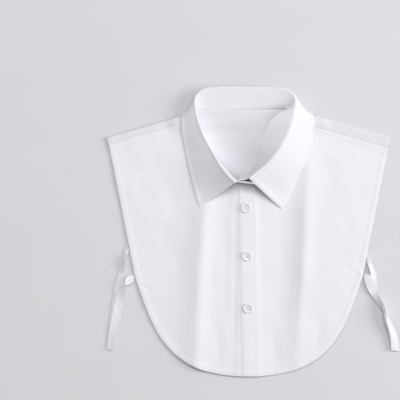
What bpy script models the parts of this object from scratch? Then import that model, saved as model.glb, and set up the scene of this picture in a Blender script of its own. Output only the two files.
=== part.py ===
"""Detachable shirt collar (dickey), laid flat on a table with its front up and its collar standing.

Sizes are in millimetres and become metres where a mesh is made. +X is the viewer's right, which is
the wearer's left, +Y points from the hem to the neck, and +Z points up from the table. The garment
is drawn about its own middle line and moved at the end, so that the origin is under its box's middle.
"""

import math
from collections import namedtuple

import bmesh
import bpy
from mathutils import Vector

MM = 0.001

# Cloth: one layer in the panels and ties, two fused layers in the collar.
CLOTH = 1.2
COLLAR_CLOTH = 1.5
TIE_CLOTH = 1.0
GAP = 0.35
SEAM_GAP = 0.45

# Panels.
SHOULDER_TIP_X = 180.0
SHOULDER_PEAK_Y = 171.0
SHOULDER_SLOPE = math.tan(math.radians(16))
SHOULDER_DIP = 3.8
SHOULDER_DIP_MIDDLE = -1.6
SIDE_FOOT = (145.0, -56.5)
HEM_SIDE_HANDLE = (120.9, -133.0)
HEM_LOW_HANDLE_X = 101.0
HEM_LOW_Y = -184.5
BACK_SIDE_INSET = 5.0
BACK_HEM_RISE = 10.0
SEAM_DROP = {"right": 10.4, "left": 14.6}
SHOULDER_PUFF = 1.7
SHOULDER_PUFF_REACH = 30.0
SIDE_SLOPE = (SHOULDER_TIP_X - SIDE_FOOT[0]) / (
    SHOULDER_PEAK_Y - SHOULDER_SLOPE * SHOULDER_TIP_X - SIDE_FOOT[1]
)

# Placket, leaning a little from the neck to the hem.
PLACKET_WIDTH = 23.0
PLACKET_CLOTH = 1.0
PLACKET_EDGE_X = 9.8
PLACKET_LEAN = 0.0217
PLACKET_TOP_Y = 63.2
PLACKET_GAP = 0.6
LAP_BLEND = 14.0
LAP_LIFT = CLOTH + GAP + 0.3

# Neck.
NECK_MIDDLE = -4.2
NECK_BACK_Y = 153.5
NECK_SHOULDER_HALF = 61.8
NECK_CLEARANCE = 1.5
NECK_SEAM_HALF = 54.6
NECK_SEAM_Y = 144.0
NECK_FRONT_Y = 68.0
NECK_FRONT_HALF = 8.0
NECK_FLARE = 0.56
NECK_RISE = 2.2
NECK_FRONT_RISE = 3.8
NECK_RISE_REACH = 20.0

# The collar leans towards +X: its neck seam lies towards -X of its fold, which is higher at +X.
COLLAR_LEAN = 11.0
COLLAR_LEAN_RISE = 6.0

# The part of the leaf folded under the back lifts the back panel.
TUCK_LIFT = 2.6
TUCK_NECK_LIFT = 2.4

# Collar.
ROLL_RADIUS = 1.6
STAND_SHORT_OF_FOLD = 4.0
LEAF_REST = 0.9
LEAF_BELLY = 0.8
FRONT_TILT = 2.0
TIP_TILT = 1.2

# Buttons.
BUTTON_RADIUS = 6.2
BUTTON_THICK = 2.4
BUTTON_HOLE_RADIUS = 0.9
BUTTON_HOLE_PITCH = 2.9
BUTTON_LINE_INSET = 13.2
BUTTON_ROWS = {"button_top": 29.6, "button_middle": -31.4, "button_low": -97.6}
STAND_BUTTON_RADIUS = 4.6
STAND_BUTTON_THICK = 1.8
STAND_BUTTON_RISE = 0.6

TIE_WIDTH = 11.5

# Soft vertical ridges of the two fronts: where the crest runs, how high it stands, and how its two
# sides fall away. Each side is a steep share and a gentle share, with their reaches.
RidgePoint = namedtuple("RidgePoint", "y x height")
RidgeSide = namedtuple("RidgeSide", "steep_share steep_reach gentle_reach")
Ridge = namedtuple("Ridge", "points toward_minus_x toward_plus_x")
RIDGES = (
    Ridge(
        points=(
            RidgePoint(100, -50.0, 0.0),
            RidgePoint(45, -54.0, 7.0),
            RidgePoint(-20, -59.5, 8.0),
            RidgePoint(-90, -62.5, 8.0),
            RidgePoint(-184, -67.0, 5.5),
        ),
        toward_minus_x=RidgeSide(0.6, 16.0, 40.0),
        toward_plus_x=RidgeSide(0.45, 16.0, 80.0),
    ),
    Ridge(
        points=(
            RidgePoint(125, 76.0, 0.0),
            RidgePoint(60, 74.5, 5.5),
            RidgePoint(-20, 71.0, 6.5),
            RidgePoint(-80, 67.5, 5.5),
            RidgePoint(-130, 63.5, 3.0),
            RidgePoint(-184, 61.0, 1.0),
        ),
        toward_minus_x=RidgeSide(0.8, 13.0, 40.0),
        toward_plus_x=RidgeSide(0.3, 13.0, 60.0),
    ),
)
CREST_ROUNDING = 4.0

# Collar sections from the front opening to the centre back. x is a middle and a half width, so each
# row serves both sides. The fold is the top line of the collar, the foot is sewn to the neck, and the
# edge is the leaf's outer edge. A knee is where the leaf turns under the back panel. An edge without
# a height lies on the fronts, and an edge_past counts from the shoulder fold line.
Section = namedtuple(
    "Section",
    "fold_mid fold_half fold_y fold_z foot_mid foot_half foot_y foot_z"
    " knee edge_mid edge_half edge_y edge_past edge_z",
)
SECTIONS = tuple(
    Section(*row)
    for row in (
        (-8.2, 7.5, 65.0, 36.0, -7.6, 9.5, 70.0, None, None, -10.4, 52.8, 28.4, None, None),
        (-7.8, 17.5, 73.6, 34.6, -7.0, 15.5, 77.0, None, None, -8.8, 58.5, 41.5, None, None),
        (-5.8, 30.6, 87.0, 31.8, -5.4, 24.5, 90.0, None, None, -7.0, 65.0, 58.5, None, None),
        (-4.2, 42.5, 104.0, 28.6, -4.2, 33.5, 107.0, None, None, -4.8, 72.6, 80.0, None, None),
        (-4.0, 51.5, 120.0, 26.0, -4.2, 41.0, 123.0, None, None, -2.8, 79.0, 102.0, None, None),
        (-3.9, 58.0, 137.0, 23.8, -4.2, 48.5, 139.0, None, None, -2.0, 83.2, 121.0, None, None),
        (-4.0, 61.4, 150.0, 22.2, -4.2, 52.8, 148.0, None, None, -1.6, 85.0, 136.0, None, None),
        (-4.1, 62.6, 159.0, 20.2, -4.2, 55.0, 152.0, None, None, -1.6, 84.0, 145.0, None, None),
        (-4.2, 62.8, 166.0, 17.5, -4.2, 55.0, 154.2, 6.4, None, -1.6, 81.6, None, 2.8, 3.2),
        (-4.2, 61.0, 172.0, 17.0, -4.2, 52.0, 155.0, 5.4, (71.0, 161.5, 5.0), -2.0, 76.8, None, 2.5, 1.0),
        (-4.2, 56.8, 177.0, 16.5, -4.2, 46.0, 154.8, 5.0, (66.5, 159.0, -1.0), -3.0, 69.0, None, -6.4, 0.9),
        (-4.2, 47.0, 181.2, 16.0, -4.2, 37.0, 154.4, 5.0, (55.0, 159.2, -0.8), -3.6, 56.0, 144.5, None, 0.9),
        (-4.2, 24.0, 182.4, 15.0, -4.2, 19.0, 154.2, 5.0, (26.0, 158.0, -0.3), -4.2, 27.0, 142.0, None, 0.9),
        (-4.2, 0.0, 182.4, 14.5, -4.2, 0.0, 154.2, 5.0, (0.0, 158.0, -0.2), -4.2, 0.0, 141.0, None, 0.9),
    )
)

# The lapped ends of the stand, past its first section: the top line and the foot line of each. The
# stand's button sits on the last of the over end's rows.
StandEnd = namedtuple("StandEnd", "x top_y top_z foot_y")
OVER_END = (
    StandEnd(8.3, 60.6, 29.4, 66.4),
    StandEnd(2.0, 61.1, 30.8, 66.9),
    StandEnd(-4.7, 61.8, 31.8, 67.6),
)
UNDER_END = (
    StandEnd(-6.0, 65.4, 31.8, 71.4),
    StandEnd(-12.6, 65.8, 31.2, 72.4),
)

# Ties: stations along each strip, with the direction across it. That direction is shorter than 1
# where the strip is gathered.
TieStation = namedtuple("TieStation", "x y z across")
TIES = {
    "tie_right_front": (
        TieStation(-145.9, -60.0, 4.0, (0.10, 0.62, 0.00)),
        TieStation(-150.0, -61.5, 4.6, (0.05, 0.95, 0.05)),
        TieStation(-156.0, -64.0, 5.6, (0.12, 0.95, 0.25)),
        TieStation(-160.0, -68.0, 6.6, (0.60, 0.60, 0.60)),
        TieStation(-162.2, -75.0, 5.4, (0.92, 0.25, 0.42)),
        TieStation(-164.6, -90.0, 3.0, (0.98, -0.20, 0.10)),
        TieStation(-168.3, -109.4, 2.8, (0.98, -0.20, 0.05)),
        TieStation(-172.4, -125.5, 3.2, (0.84, -0.20, 0.20)),
        TieStation(-175.0, -140.6, 3.4, (0.72, -0.20, 0.24)),
        TieStation(-176.6, -151.0, 3.4, (0.68, -0.18, 0.26)),
    ),
    "tie_right_back": (
        TieStation(-151.6, -14.0, 0.8, (-0.10, 0.46, 0.00)),
        TieStation(-153.9, -20.0, 0.8, (-0.34, 0.24, 0.00)),
        TieStation(-156.6, -28.0, 2.8, (-0.47, 0.12, -0.36)),
        TieStation(-158.6, -36.0, 4.4, (-0.48, 0.12, -0.62)),
        TieStation(-160.6, -45.0, 3.6, (-0.55, 0.12, -0.46)),
        TieStation(-162.0, -57.0, 1.2, (-0.80, 0.20, -0.08)),
        TieStation(-164.6, -68.0, 0.7, (-0.92, 0.22, 0.00)),
        TieStation(-168.2, -91.0, 0.7, (-0.98, 0.16, 0.00)),
        TieStation(-171.0, -109.4, 0.7, (-0.98, 0.16, 0.00)),
        TieStation(-173.6, -125.0, 0.7, (-0.80, 0.16, 0.00)),
        TieStation(-175.4, -138.0, 0.7, (-0.70, 0.14, 0.00)),
    ),
    "tie_left_front": (
        TieStation(146.6, -56.0, 4.2, (0.16, 0.50, 0.00)),
        TieStation(150.6, -60.4, 4.8, (0.50, 0.80, 0.10)),
        TieStation(154.6, -68.3, 4.6, (0.92, 0.34, 0.10)),
        TieStation(158.0, -75.2, 4.4, (0.92, 0.34, 0.05)),
        TieStation(161.6, -82.1, 5.2, (0.80, 0.30, 0.42)),
        TieStation(165.4, -89.5, 6.6, (0.56, 0.22, 0.74)),
        TieStation(168.2, -95.9, 7.4, (0.36, 0.14, 0.90)),
        TieStation(170.9, -102.8, 7.4, (0.05, 0.02, 1.00)),
        TieStation(175.4, -113.9, 6.6, (-0.46, -0.16, 0.86)),
        TieStation(180.8, -126.6, 4.8, (-0.66, -0.18, 0.60)),
        TieStation(184.1, -138.2, 3.4, (-0.80, -0.12, 0.34)),
        TieStation(185.8, -151.5, 2.2, (-0.92, 0.05, 0.16)),
    ),
    "tie_left_back": (
        TieStation(148.6, -27.0, 0.8, (0.10, 0.46, 0.00)),
        TieStation(150.6, -33.5, 0.9, (0.34, 0.24, 0.00)),
        TieStation(154.0, -42.0, 2.8, (0.44, 0.12, -0.30)),
        TieStation(156.8, -50.0, 3.4, (0.54, 0.12, -0.40)),
        TieStation(158.4, -57.5, 2.6, (0.70, 0.18, -0.20)),
    ),
}

# From its own last station on, this tie lies against the other one and turns over with it.
TIE_LIES_WITH = {"tie_left_back": ("tie_left_front", slice(3, None))}
TIE_STACK = TIE_CLOTH + GAP + 0.35

# How finely each cloth piece is cut into facets. Shoulder stops are distances from the middle of the
# shoulder dip, close together where the fold dips.
SHOULDER_STOPS = (158.0, 136.0, 114.0, 98.0, 87.5, 84.0, 80.0, 73.0)
NECK_COLUMNS = 12
SHOULDER_COLUMNS = 8
PANEL_ROWS = 16
BACK_NECK_COLUMNS = 10
BACK_ROWS = 15
WRAP_ROWS = 3
STRIP_ROWS = 2
RING_STEPS = 2
LEAF_STEPS = 5
ROLL_STEPS = 3
STAND_STEPS = 3
TIE_STEPS = 2
PLACKET_ROWS = 24
BUTTON_STEPS = 20


# ---------------------------------------------------------------- small tools


def smooth(start, end, value):
    """0 at start and 1 at end, with a soft rise between, whichever of the two is larger."""
    share = min(max((value - start) / (end - start), 0.0), 1.0)
    return share * share * (3.0 - 2.0 * share)


def mix(a, b, share):
    return a + (b - a) * share


def cubic(a, b, c, d, share):
    """A point of the cubic curve with ends a and d and handles b and c."""
    rest = 1.0 - share
    return rest**3 * a + 3 * rest * rest * share * b + 3 * rest * share * share * c + share**3 * d


def through(points, steps):
    """A smooth line through the points, with some steps to each stretch between two of them."""
    points = [Vector(p) for p in points]
    ends = [2 * points[0] - points[1], *points, 2 * points[-1] - points[-2]]
    line = []
    for before, a, b, after in zip(ends, ends[1:], ends[2:], ends[3:]):
        for step in range(steps):
            t = step / steps
            line.append(
                0.5 * (2 * a + (b - before) * t + (2 * before - 5 * a + 4 * b - after) * t**2
                       + (3 * a - before - 3 * b + after) * t**3)
            )
    return [*line, points[-1]]


def along(points, count):
    """count + 1 points spaced evenly along a line of points."""
    points = [Vector(p) for p in points]
    lengths = [0.0]
    for a, b in zip(points, points[1:]):
        lengths.append(lengths[-1] + (b - a).length)
    spaced = []
    at = 0
    for step in range(count + 1):
        wanted = lengths[-1] * step / count
        while at < len(points) - 2 and lengths[at + 1] < wanted:
            at += 1
        span = lengths[at + 1] - lengths[at]
        spaced.append(points[at].lerp(points[at + 1], min((wanted - lengths[at]) / span, 1.0)))
    return spaced


def moved_out(points, distance):
    """A line in plan moved sideways, to the left of its own direction."""
    moved = []
    for n, point in enumerate(points):
        ahead = points[min(n + 1, len(points) - 1)] - points[max(n - 1, 0)]
        side = Vector((-ahead.y, ahead.x)).normalized()
        moved.append(Vector((point.x, point.y)) + side * distance)
    return moved


# ---------------------------------------------------------------- heights


def shoulder_line(x):
    """The straight slope of a shoulder, seen from above."""
    return SHOULDER_PEAK_Y - SHOULDER_SLOPE * abs(x)


def shoulder_y(x):
    """The shoulder fold, the garment's upper outline, which dips where the collar pulls on it."""
    return shoulder_line(x) - SHOULDER_DIP * smooth(87.0, 81.0, abs(x - SHOULDER_DIP_MIDDLE))


def ridge_height(ridge, x, y):
    """How high a ridge stands at a place, from its crest line and its two sides."""
    rows = ridge.points
    above, below = rows[0], rows[-1]
    for upper, lower in zip(rows, rows[1:]):
        if lower.y <= y <= upper.y:
            above, below = upper, lower
    share = min(max((above.y - y) / (above.y - below.y), 0.0), 1.0)
    away = x - mix(above.x, below.x, share)
    side = ridge.toward_plus_x if away > 0 else ridge.toward_minus_x
    far = math.hypot(away, CREST_ROUNDING) - CREST_ROUNDING
    fall = side.steep_share * math.exp(-far / side.steep_reach)
    fall += (1 - side.steep_share) * math.exp(-far / side.gentle_reach)
    return mix(above.height, below.height, share) * fall


def back_level(x, y):
    """Middle of the back panel's cloth: on the table, or over the leaf that is folded under it."""
    over_leaf = smooth(124.0, 138.0, y) * smooth(106.0, 92.0, abs(x))
    at_neck = smooth(143.0, 154.0, y) * smooth(72.0, 60.0, abs(x - NECK_MIDDLE))
    return CLOTH / 2 + TUCK_LIFT * over_leaf + TUCK_NECK_LIFT * at_neck


def leaning(y):
    """The share of the collar's lean at a distance up the neck."""
    return smooth(66.0, 118.0, y) * smooth(164.0, 138.0, y)


def seam_middle():
    """The middle between the two shoulder seams' ends at the neck."""
    return NECK_MIDDLE - COLLAR_LEAN * leaning(NECK_SEAM_Y)


def neck_rise(x, y):
    """How far the stand lifts the fronts' cloth round the neck seam, the most at its front."""
    ahead = max(NECK_FRONT_Y - y, 0.0)
    half = NECK_FRONT_HALF + NECK_FLARE * max(y - NECK_FRONT_Y, 0.0)
    middle = NECK_MIDDLE - COLLAR_LEAN * leaning(y)
    outside = math.hypot(max(abs(x - middle) - half, 0.0) / math.hypot(1.0, NECK_FLARE), ahead)
    rise = NECK_RISE + NECK_FRONT_RISE * smooth(110.0, 66.0, y)
    return rise * math.exp(-outside / NECK_RISE_REACH)


def front_level(x, y):
    """Middle of the front panels' cloth, which lies on the back with soft ridges."""
    level = back_level(x, min(y, 140.0)) + CLOTH + GAP + neck_rise(x, y)
    level += SHOULDER_PUFF * smooth(SHOULDER_PUFF_REACH, 0.0, shoulder_y(x) - y)
    return level + sum(ridge_height(ridge, x, y) for ridge in RIDGES)


def placket_edge_x(y):
    """The wearer's right front ends here, and so does the placket on it."""
    return PLACKET_EDGE_X - PLACKET_LEAN * y


def over_level(x, y):
    """Middle of the wearer's right front, which also climbs over the other front's edge."""
    under_edge = placket_edge_x(y) - PLACKET_WIDTH
    lap = smooth(under_edge - LAP_BLEND, under_edge - 2.0, x)
    return front_level(x, y) + LAP_LIFT * lap


# ---------------------------------------------------------------- outlines


def hem_line(count):
    """The round hem on the +X side, from its lowest point to its corner."""
    low = Vector((0.0, HEM_LOW_Y))
    low_handle = Vector((HEM_LOW_HANDLE_X, HEM_LOW_Y))
    corner_handle = Vector(HEM_SIDE_HANDLE)
    corner = Vector(SIDE_FOOT)
    fine = 60
    line = [cubic(low, low_handle, corner_handle, corner, n / fine) for n in range(fine + 1)]
    return along(line, count)


def filled(bottom, top, left, right):
    """Rows of plan points that fill the space inside four joined border lines."""
    rows = []
    last_row = len(left) - 1
    last_column = len(bottom) - 1
    for j in range(last_row + 1):
        v = j / last_row
        row = []
        for i in range(last_column + 1):
            u = i / last_column
            upright = bottom[i].lerp(top[i], v)
            level = left[j].lerp(right[j], u)
            corners = bottom[0].lerp(bottom[-1], u).lerp(top[0].lerp(top[-1], u), v)
            row.append(upright + level - corners)
        rows.append(row)
    return rows


# ---------------------------------------------------------------- making objects


def material(name, colour, roughness):
    made = bpy.data.materials.new(name)
    made.use_nodes = True
    shader = made.node_tree.nodes["Principled BSDF"]
    shader.inputs["Base Color"].default_value = (*colour, 1.0)
    shader.inputs["Roughness"].default_value = roughness
    shader.inputs["Metallic"].default_value = 0.0
    return made


def place(obj, garment, finish):
    """Puts an object in the garment's collection, under its empty, with its material."""
    garment.collection.objects.link(obj)
    obj.parent = garment.empty
    obj.data.materials.append(finish)
    obj.data.shade_smooth()
    obj.data.set_sharp_from_angle(angle=math.radians(40))
    return obj


def cloth_sheet(name, rows, thickness, garment, finish):
    """A wall of cloth over rows of points in millimetres. A point may be missing, as None."""
    mesh = bpy.data.meshes.new(name)
    bm = bmesh.new()
    made = [[bm.verts.new(Vector(p) * MM) if p is not None else None for p in row] for row in rows]
    for lower, upper in zip(made, made[1:]):
        for corners in zip(lower, lower[1:], upper[1:], upper):
            if None not in corners:
                bm.faces.new(corners)
    bm.to_mesh(mesh)
    bm.free()
    obj = place(bpy.data.objects.new(name, mesh), garment, finish)
    wall = obj.modifiers.new("cloth", "SOLIDIFY")
    wall.thickness = thickness * MM
    wall.offset = 0.0
    return obj


# ---------------------------------------------------------------- collar


Ring = namedtuple("Ring", "fold foot knee edge")


def sewn_z(x, y, side):
    """Height of the stand's lower edge, where it is sewn to a front."""
    level = over_level if side < 0 else front_level
    return level(x, y) - CLOTH / 2


def collar_section(row, side):
    """The fold, foot, knee and edge of one section, in 3-D, on one side of the neck."""
    at_front = smooth(105.0, 66.0, row.fold_y)
    tilt = side * FRONT_TILT * at_front
    fold_z = row.fold_z + side * COLLAR_LEAN_RISE * leaning(row.fold_y)
    fold = Vector((row.fold_mid + side * row.fold_half, row.fold_y + tilt, fold_z))
    foot_x = row.foot_mid + side * row.foot_half - COLLAR_LEAN * leaning(row.foot_y)
    foot_y = row.foot_y + tilt
    foot_z = row.foot_z
    if foot_z is None:
        foot_z = sewn_z(foot_x, foot_y, side)
    edge_x = row.edge_mid + side * row.edge_half
    edge_y = row.edge_y
    if edge_y is None:
        edge_y = shoulder_y(edge_x) + row.edge_past
    edge_y -= side * TIP_TILT * at_front
    edge_z = row.edge_z
    if edge_z is None:
        edge_z = front_level(edge_x, edge_y) + CLOTH / 2 + LEAF_REST + COLLAR_CLOTH / 2
    edge = Vector((edge_x, edge_y, edge_z))
    if row.knee is None:
        knee = fold.lerp(edge, 0.5) + Vector((0.0, 0.0, LEAF_BELLY))
    else:
        knee = Vector((row.fold_mid + side * row.knee[0], row.knee[1], row.knee[2]))
    return Ring(fold, Vector((foot_x, foot_y, foot_z)), knee, edge)


def collar_rings():
    """Every section in order, from the front opening on the -X side round the back to +X."""
    half = [collar_section(row, -1) for row in SECTIONS]
    other = [collar_section(row, 1) for row in SECTIONS[-2::-1]]
    columns = zip(*[*half, *other])
    return [Ring(*ring) for ring in zip(*(through(column, RING_STEPS) for column in columns))]


def leaf_profile(ring):
    """From the top of the stand, up over the roll and down to the leaf's edge."""
    up = (ring.fold - ring.foot).normalized()
    toward = ring.knee - ring.fold
    out = (toward - up * toward.dot(up)).normalized()
    centre = ring.fold - up * ROLL_RADIUS + out * ROLL_RADIUS
    profile = [ring.fold - up * (STAND_SHORT_OF_FOLD - SEAM_GAP)]
    for step in range(ROLL_STEPS + 1):
        angle = math.radians(165.0) * step / ROLL_STEPS
        profile.append(centre + ROLL_RADIUS * (up * math.sin(angle) - out * math.cos(angle)))
    start = profile[-1]
    for step in range(1, LEAF_STEPS + 1):
        t = step / LEAF_STEPS
        profile.append(start.lerp(ring.knee, t).lerp(ring.knee.lerp(ring.edge, t), t))
    return profile


def collar_fall(garment, finish):
    rows = [leaf_profile(ring) for ring in collar_rings()]
    cloth_sheet("collar_fall", rows, COLLAR_CLOTH, garment, finish)


def stand_end(ends, side):
    """The top point and the foot point of each row of a lapped end."""
    tops = [Vector((end.x, end.top_y, end.top_z)) for end in ends]
    feet = [Vector((end.x, end.foot_y, sewn_z(end.x, end.foot_y, side))) for end in ends]
    return list(zip(tops, feet))


def stand_lines():
    """The top line and the foot line of the stand, from its over end round to its under end."""
    over = stand_end(OVER_END, -1)
    under = stand_end(UNDER_END, 1)
    round_neck = []
    for ring in collar_rings():
        up = (ring.fold - ring.foot).normalized()
        round_neck.append((ring.fold - up * STAND_SHORT_OF_FOLD, ring.foot))
    over_line = through_pairs([*over, round_neck[0]])[:-1]
    under_line = through_pairs([round_neck[-1], *under])[1:]
    return [*over_line, *round_neck, *under_line]


def through_pairs(pairs):
    tops, feet = zip(*pairs)
    return list(zip(through(tops, RING_STEPS), through(feet, RING_STEPS)))


def collar_stand(garment, finish):
    rows = []
    for top, foot in stand_lines():
        rows.append([foot.lerp(top, step / STAND_STEPS) for step in range(STAND_STEPS + 1)])
    cloth_sheet("collar_stand", rows, COLLAR_CLOTH, garment, finish)


# ---------------------------------------------------------------- panels


def neck_line(side):
    """The neck edge of a front, from the shoulder seam to the front edge, just outside the stand."""
    half = [collar_section(row, side).foot for row in SECTIONS if row.foot_y < NECK_BACK_Y]
    ends = OVER_END[::-1] if side < 0 else UNDER_END
    feet = [*half[::-1], *(Vector((end.x, end.foot_y)) for end in ends)]
    line = through([Vector((p.x, p.y)) for p in feet], 4)
    return moved_out(line, side * (COLLAR_CLOTH / 2 + NECK_CLEARANCE))


def front_panel(name, side, level, garment, finish):
    """One front, from its hem to the shoulder seam, with the neck cut out."""
    drop = SEAM_DROP["left" if side > 0 else "right"] + SEAM_GAP
    ends_x = (seam_middle() + side * NECK_SEAM_HALF, side * (SHOULDER_TIP_X - SIDE_SLOPE * drop))
    seam = [Vector((x, shoulder_line(x) - drop)) for x in ends_x]
    neck = [p for p in neck_line(side) if p.y < seam[0].y - 1.0]
    neck = [seam[0], *neck]
    top = [*along(neck[::-1], NECK_COLUMNS), *along(seam, SHOULDER_COLUMNS)[1:]]
    edge_top = top[0]
    edge_x = placket_edge_x(HEM_LOW_Y) - (PLACKET_WIDTH if side > 0 else 0.0)
    edge_foot = Vector((edge_x, HEM_LOW_Y))
    hem = [Vector((side * p.x, p.y)) for p in hem_line(60) if p.x > -side * edge_x + 1.0]
    bottom = along([edge_foot, *hem], NECK_COLUMNS + SHOULDER_COLUMNS)
    left = along([edge_foot, edge_top], PANEL_ROWS)
    right = along([bottom[-1], top[-1]], PANEL_ROWS)
    rows = [
        [(p.x, p.y, level(p.x, p.y)) for p in row] for row in filled(bottom, top, left, right)
    ]
    if side < 0:
        rows = [row[::-1] for row in rows]
    cloth_sheet(name, rows, CLOTH, garment, finish)


def shoulder_wrap(x, side):
    """The back panel's cloth round the shoulder fold at one x: up from the back and on to the seam.

    Toward the shoulder tip the strip leans inward, in line with the side edge, and at the neck it
    leans to where the seam meets the stand.
    """
    drop = SEAM_DROP["left" if side > 0 else "right"]
    lean = side * SIDE_SLOPE * smooth(80.0, SHOULDER_TIP_X, abs(x))
    y_near = shoulder_y(x) - 2.0
    low = back_level(x, min(y_near, 142.0))
    radius = (front_level(x, y_near) - low) / 2
    y_centre = shoulder_y(x) - radius - CLOTH / 2
    points = []
    for step in range(WRAP_ROWS + 1):
        angle = math.pi * step / WRAP_ROWS - math.pi / 2
        y = y_centre + radius * math.cos(angle)
        points.append((x, y, low + radius + radius * math.sin(angle)))
    inward = NECK_MIDDLE - seam_middle() + side * (NECK_SHOULDER_HALF - NECK_SEAM_HALF)
    at_neck = smooth(NECK_SHOULDER_HALF + 16.0, NECK_SHOULDER_HALF, abs(x - NECK_MIDDLE))
    seam_x = x - lean * drop - inward * at_neck
    seam_y = shoulder_line(seam_x) - drop
    for step in range(1, STRIP_ROWS + 1):
        strip_x = mix(x, seam_x, step / STRIP_ROWS)
        strip_y = mix(y_centre, seam_y, step / STRIP_ROWS)
        points.append((strip_x, strip_y, front_level(strip_x, strip_y)))
    return points


def back_panel(garment, finish):
    """The back, flat on the table, with a strip on each shoulder that wraps round to the front."""
    inset = 1.0 - BACK_SIDE_INSET / SIDE_FOOT[0]
    tip_x = SHOULDER_TIP_X
    neck = [NECK_MIDDLE + side * NECK_SHOULDER_HALF for side in (-1, 1)]
    columns = [-tip_x, *(SHOULDER_DIP_MIDDLE - stop for stop in SHOULDER_STOPS)]
    first_neck = len(columns)
    columns += [mix(*neck, n / BACK_NECK_COLUMNS) for n in range(BACK_NECK_COLUMNS + 1)]
    columns += [*(SHOULDER_DIP_MIDDLE + stop for stop in SHOULDER_STOPS[::-1]), tip_x]
    last_neck = first_neck + BACK_NECK_COLUMNS
    wraps = {}
    top = []
    for n, x in enumerate(columns):
        if n <= first_neck or n >= last_neck:
            wraps[n] = shoulder_wrap(x, -1 if n <= first_neck else 1)
            top.append(Vector((x, wraps[n][0][1])))
        else:
            top.append(Vector((x, NECK_BACK_Y)))
    half_hem = [Vector((p.x * inset, p.y + BACK_HEM_RISE)) for p in hem_line(60)]
    hem = [Vector((-p.x, p.y)) for p in half_hem[:0:-1]] + half_hem
    bottom = along(hem, len(columns) - 1)
    left = along([bottom[0], top[0]], BACK_ROWS)
    right = along([bottom[-1], top[-1]], BACK_ROWS)
    rows = [
        [(p.x, p.y, back_level(p.x, p.y)) for p in row] for row in filled(bottom, top, left, right)
    ]
    for n, wrap in wraps.items():
        rows[-1][n] = wrap[0]
    for step in range(1, WRAP_ROWS + STRIP_ROWS + 1):
        rows.append([wraps[n][step] if n in wraps else None for n in range(len(columns))])
    cloth_sheet("back_panel", rows, CLOTH, garment, finish)


def placket(garment, finish):
    """The buttonhole band, made from the front panel's points moved out."""
    lift = CLOTH / 2 + PLACKET_GAP + PLACKET_CLOTH / 2
    rows = []
    for step in range(PLACKET_ROWS + 1):
        y = mix(HEM_LOW_Y + 1.0, PLACKET_TOP_Y, step / PLACKET_ROWS)
        row = []
        for share in (0.0, 0.25, 0.5, 0.75, 1.0):
            x = placket_edge_x(y) - PLACKET_WIDTH * (1 - share)
            row.append((x, y, over_level(x, y) + lift))
        rows.append(row)
    cloth_sheet("placket", rows, PLACKET_CLOTH, garment, finish)


# ---------------------------------------------------------------- ties


def lying_with(stations):
    """Stations of a second strip that lies against the underside of the one given."""
    stations = [(Vector(station[:3]), Vector(station.across)) for station in stations]
    moved = []
    for n, (middle, across) in enumerate(stations):
        onward = stations[min(n + 1, len(stations) - 1)][0] - stations[max(n - 1, 0)][0]
        middle = middle - onward.cross(across).normalized() * TIE_STACK
        moved.append(TieStation(*middle, across))
    return moved


def tie(name, stations, garment, finish):
    """A strip of cloth through its stations, turned and gathered as each one says."""
    middles = through([station[:3] for station in stations], TIE_STEPS)
    halves = through([Vector(station.across) * TIE_WIDTH / 2 for station in stations], TIE_STEPS)
    rows = [[middle - half, middle, middle + half] for middle, half in zip(middles, halves)]
    cloth_sheet(name, rows, TIE_CLOTH, garment, finish)


# ---------------------------------------------------------------- buttons


def turned(name, profile, steps, garment, finish):
    """A solid turned about its own Z axis from a profile of (radius, height), top to bottom."""
    mesh = bpy.data.meshes.new(name)
    bm = bmesh.new()
    line = [bm.verts.new((radius * MM, 0.0, height * MM)) for radius, height in profile]
    for a, b in zip(line, line[1:]):
        bm.edges.new((a, b))
    bm.to_mesh(mesh)
    bm.free()
    obj = place(bpy.data.objects.new(name, mesh), garment, finish)
    screw = obj.modifiers.new("turn", "SCREW")
    screw.steps = steps
    screw.render_steps = steps
    screw.use_merge_vertices = True
    screw.merge_threshold = 0.00001
    return obj


def thread_holes(garment):
    """Four pins that cut a button's thread holes, joined in one cutter."""
    bm = bmesh.new()
    for x in (-0.5, 0.5):
        for y in (-0.5, 0.5):
            made = bmesh.ops.create_cone(
                bm,
                cap_ends=True,
                segments=6,
                radius1=BUTTON_HOLE_RADIUS * MM,
                radius2=BUTTON_HOLE_RADIUS * MM,
                depth=4 * BUTTON_THICK * MM,
            )
            offset = Vector((x, y, 0.0)) * BUTTON_HOLE_PITCH * MM
            bmesh.ops.translate(bm, verts=made["verts"], vec=offset)
    mesh = bpy.data.meshes.new("thread_holes")
    bm.to_mesh(mesh)
    bm.free()
    cutter = bpy.data.objects.new("thread_holes", mesh)
    cutter.hide_render = True
    cutter.display_type = "WIRE"
    garment.cutters.objects.link(cutter)
    return cutter


def button(name, radius, thick, spot, tilt, garment, finish):
    """A button with a rim and a dished middle, its underside at spot."""
    profile = (
        (0.0, thick * 0.62),
        (radius * 0.58, thick * 0.62),
        (radius * 0.72, thick),
        (radius * 0.88, thick),
        (radius, thick * 0.66),
        (radius, thick * 0.36),
        (radius * 0.8, 0.0),
        (0.0, 0.0),
    )
    obj = turned(name, profile, BUTTON_STEPS, garment, finish)
    obj.location = Vector(spot) * MM
    obj.rotation_euler = tilt
    cutter = thread_holes(garment)
    cutter.name = name + "_holes"
    cutter.parent = garment.empty
    cutter.location = obj.location
    cutter.rotation_euler = tilt
    holes = obj.modifiers.new("thread holes", "BOOLEAN")
    holes.operation = "DIFFERENCE"
    holes.object = cutter


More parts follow.
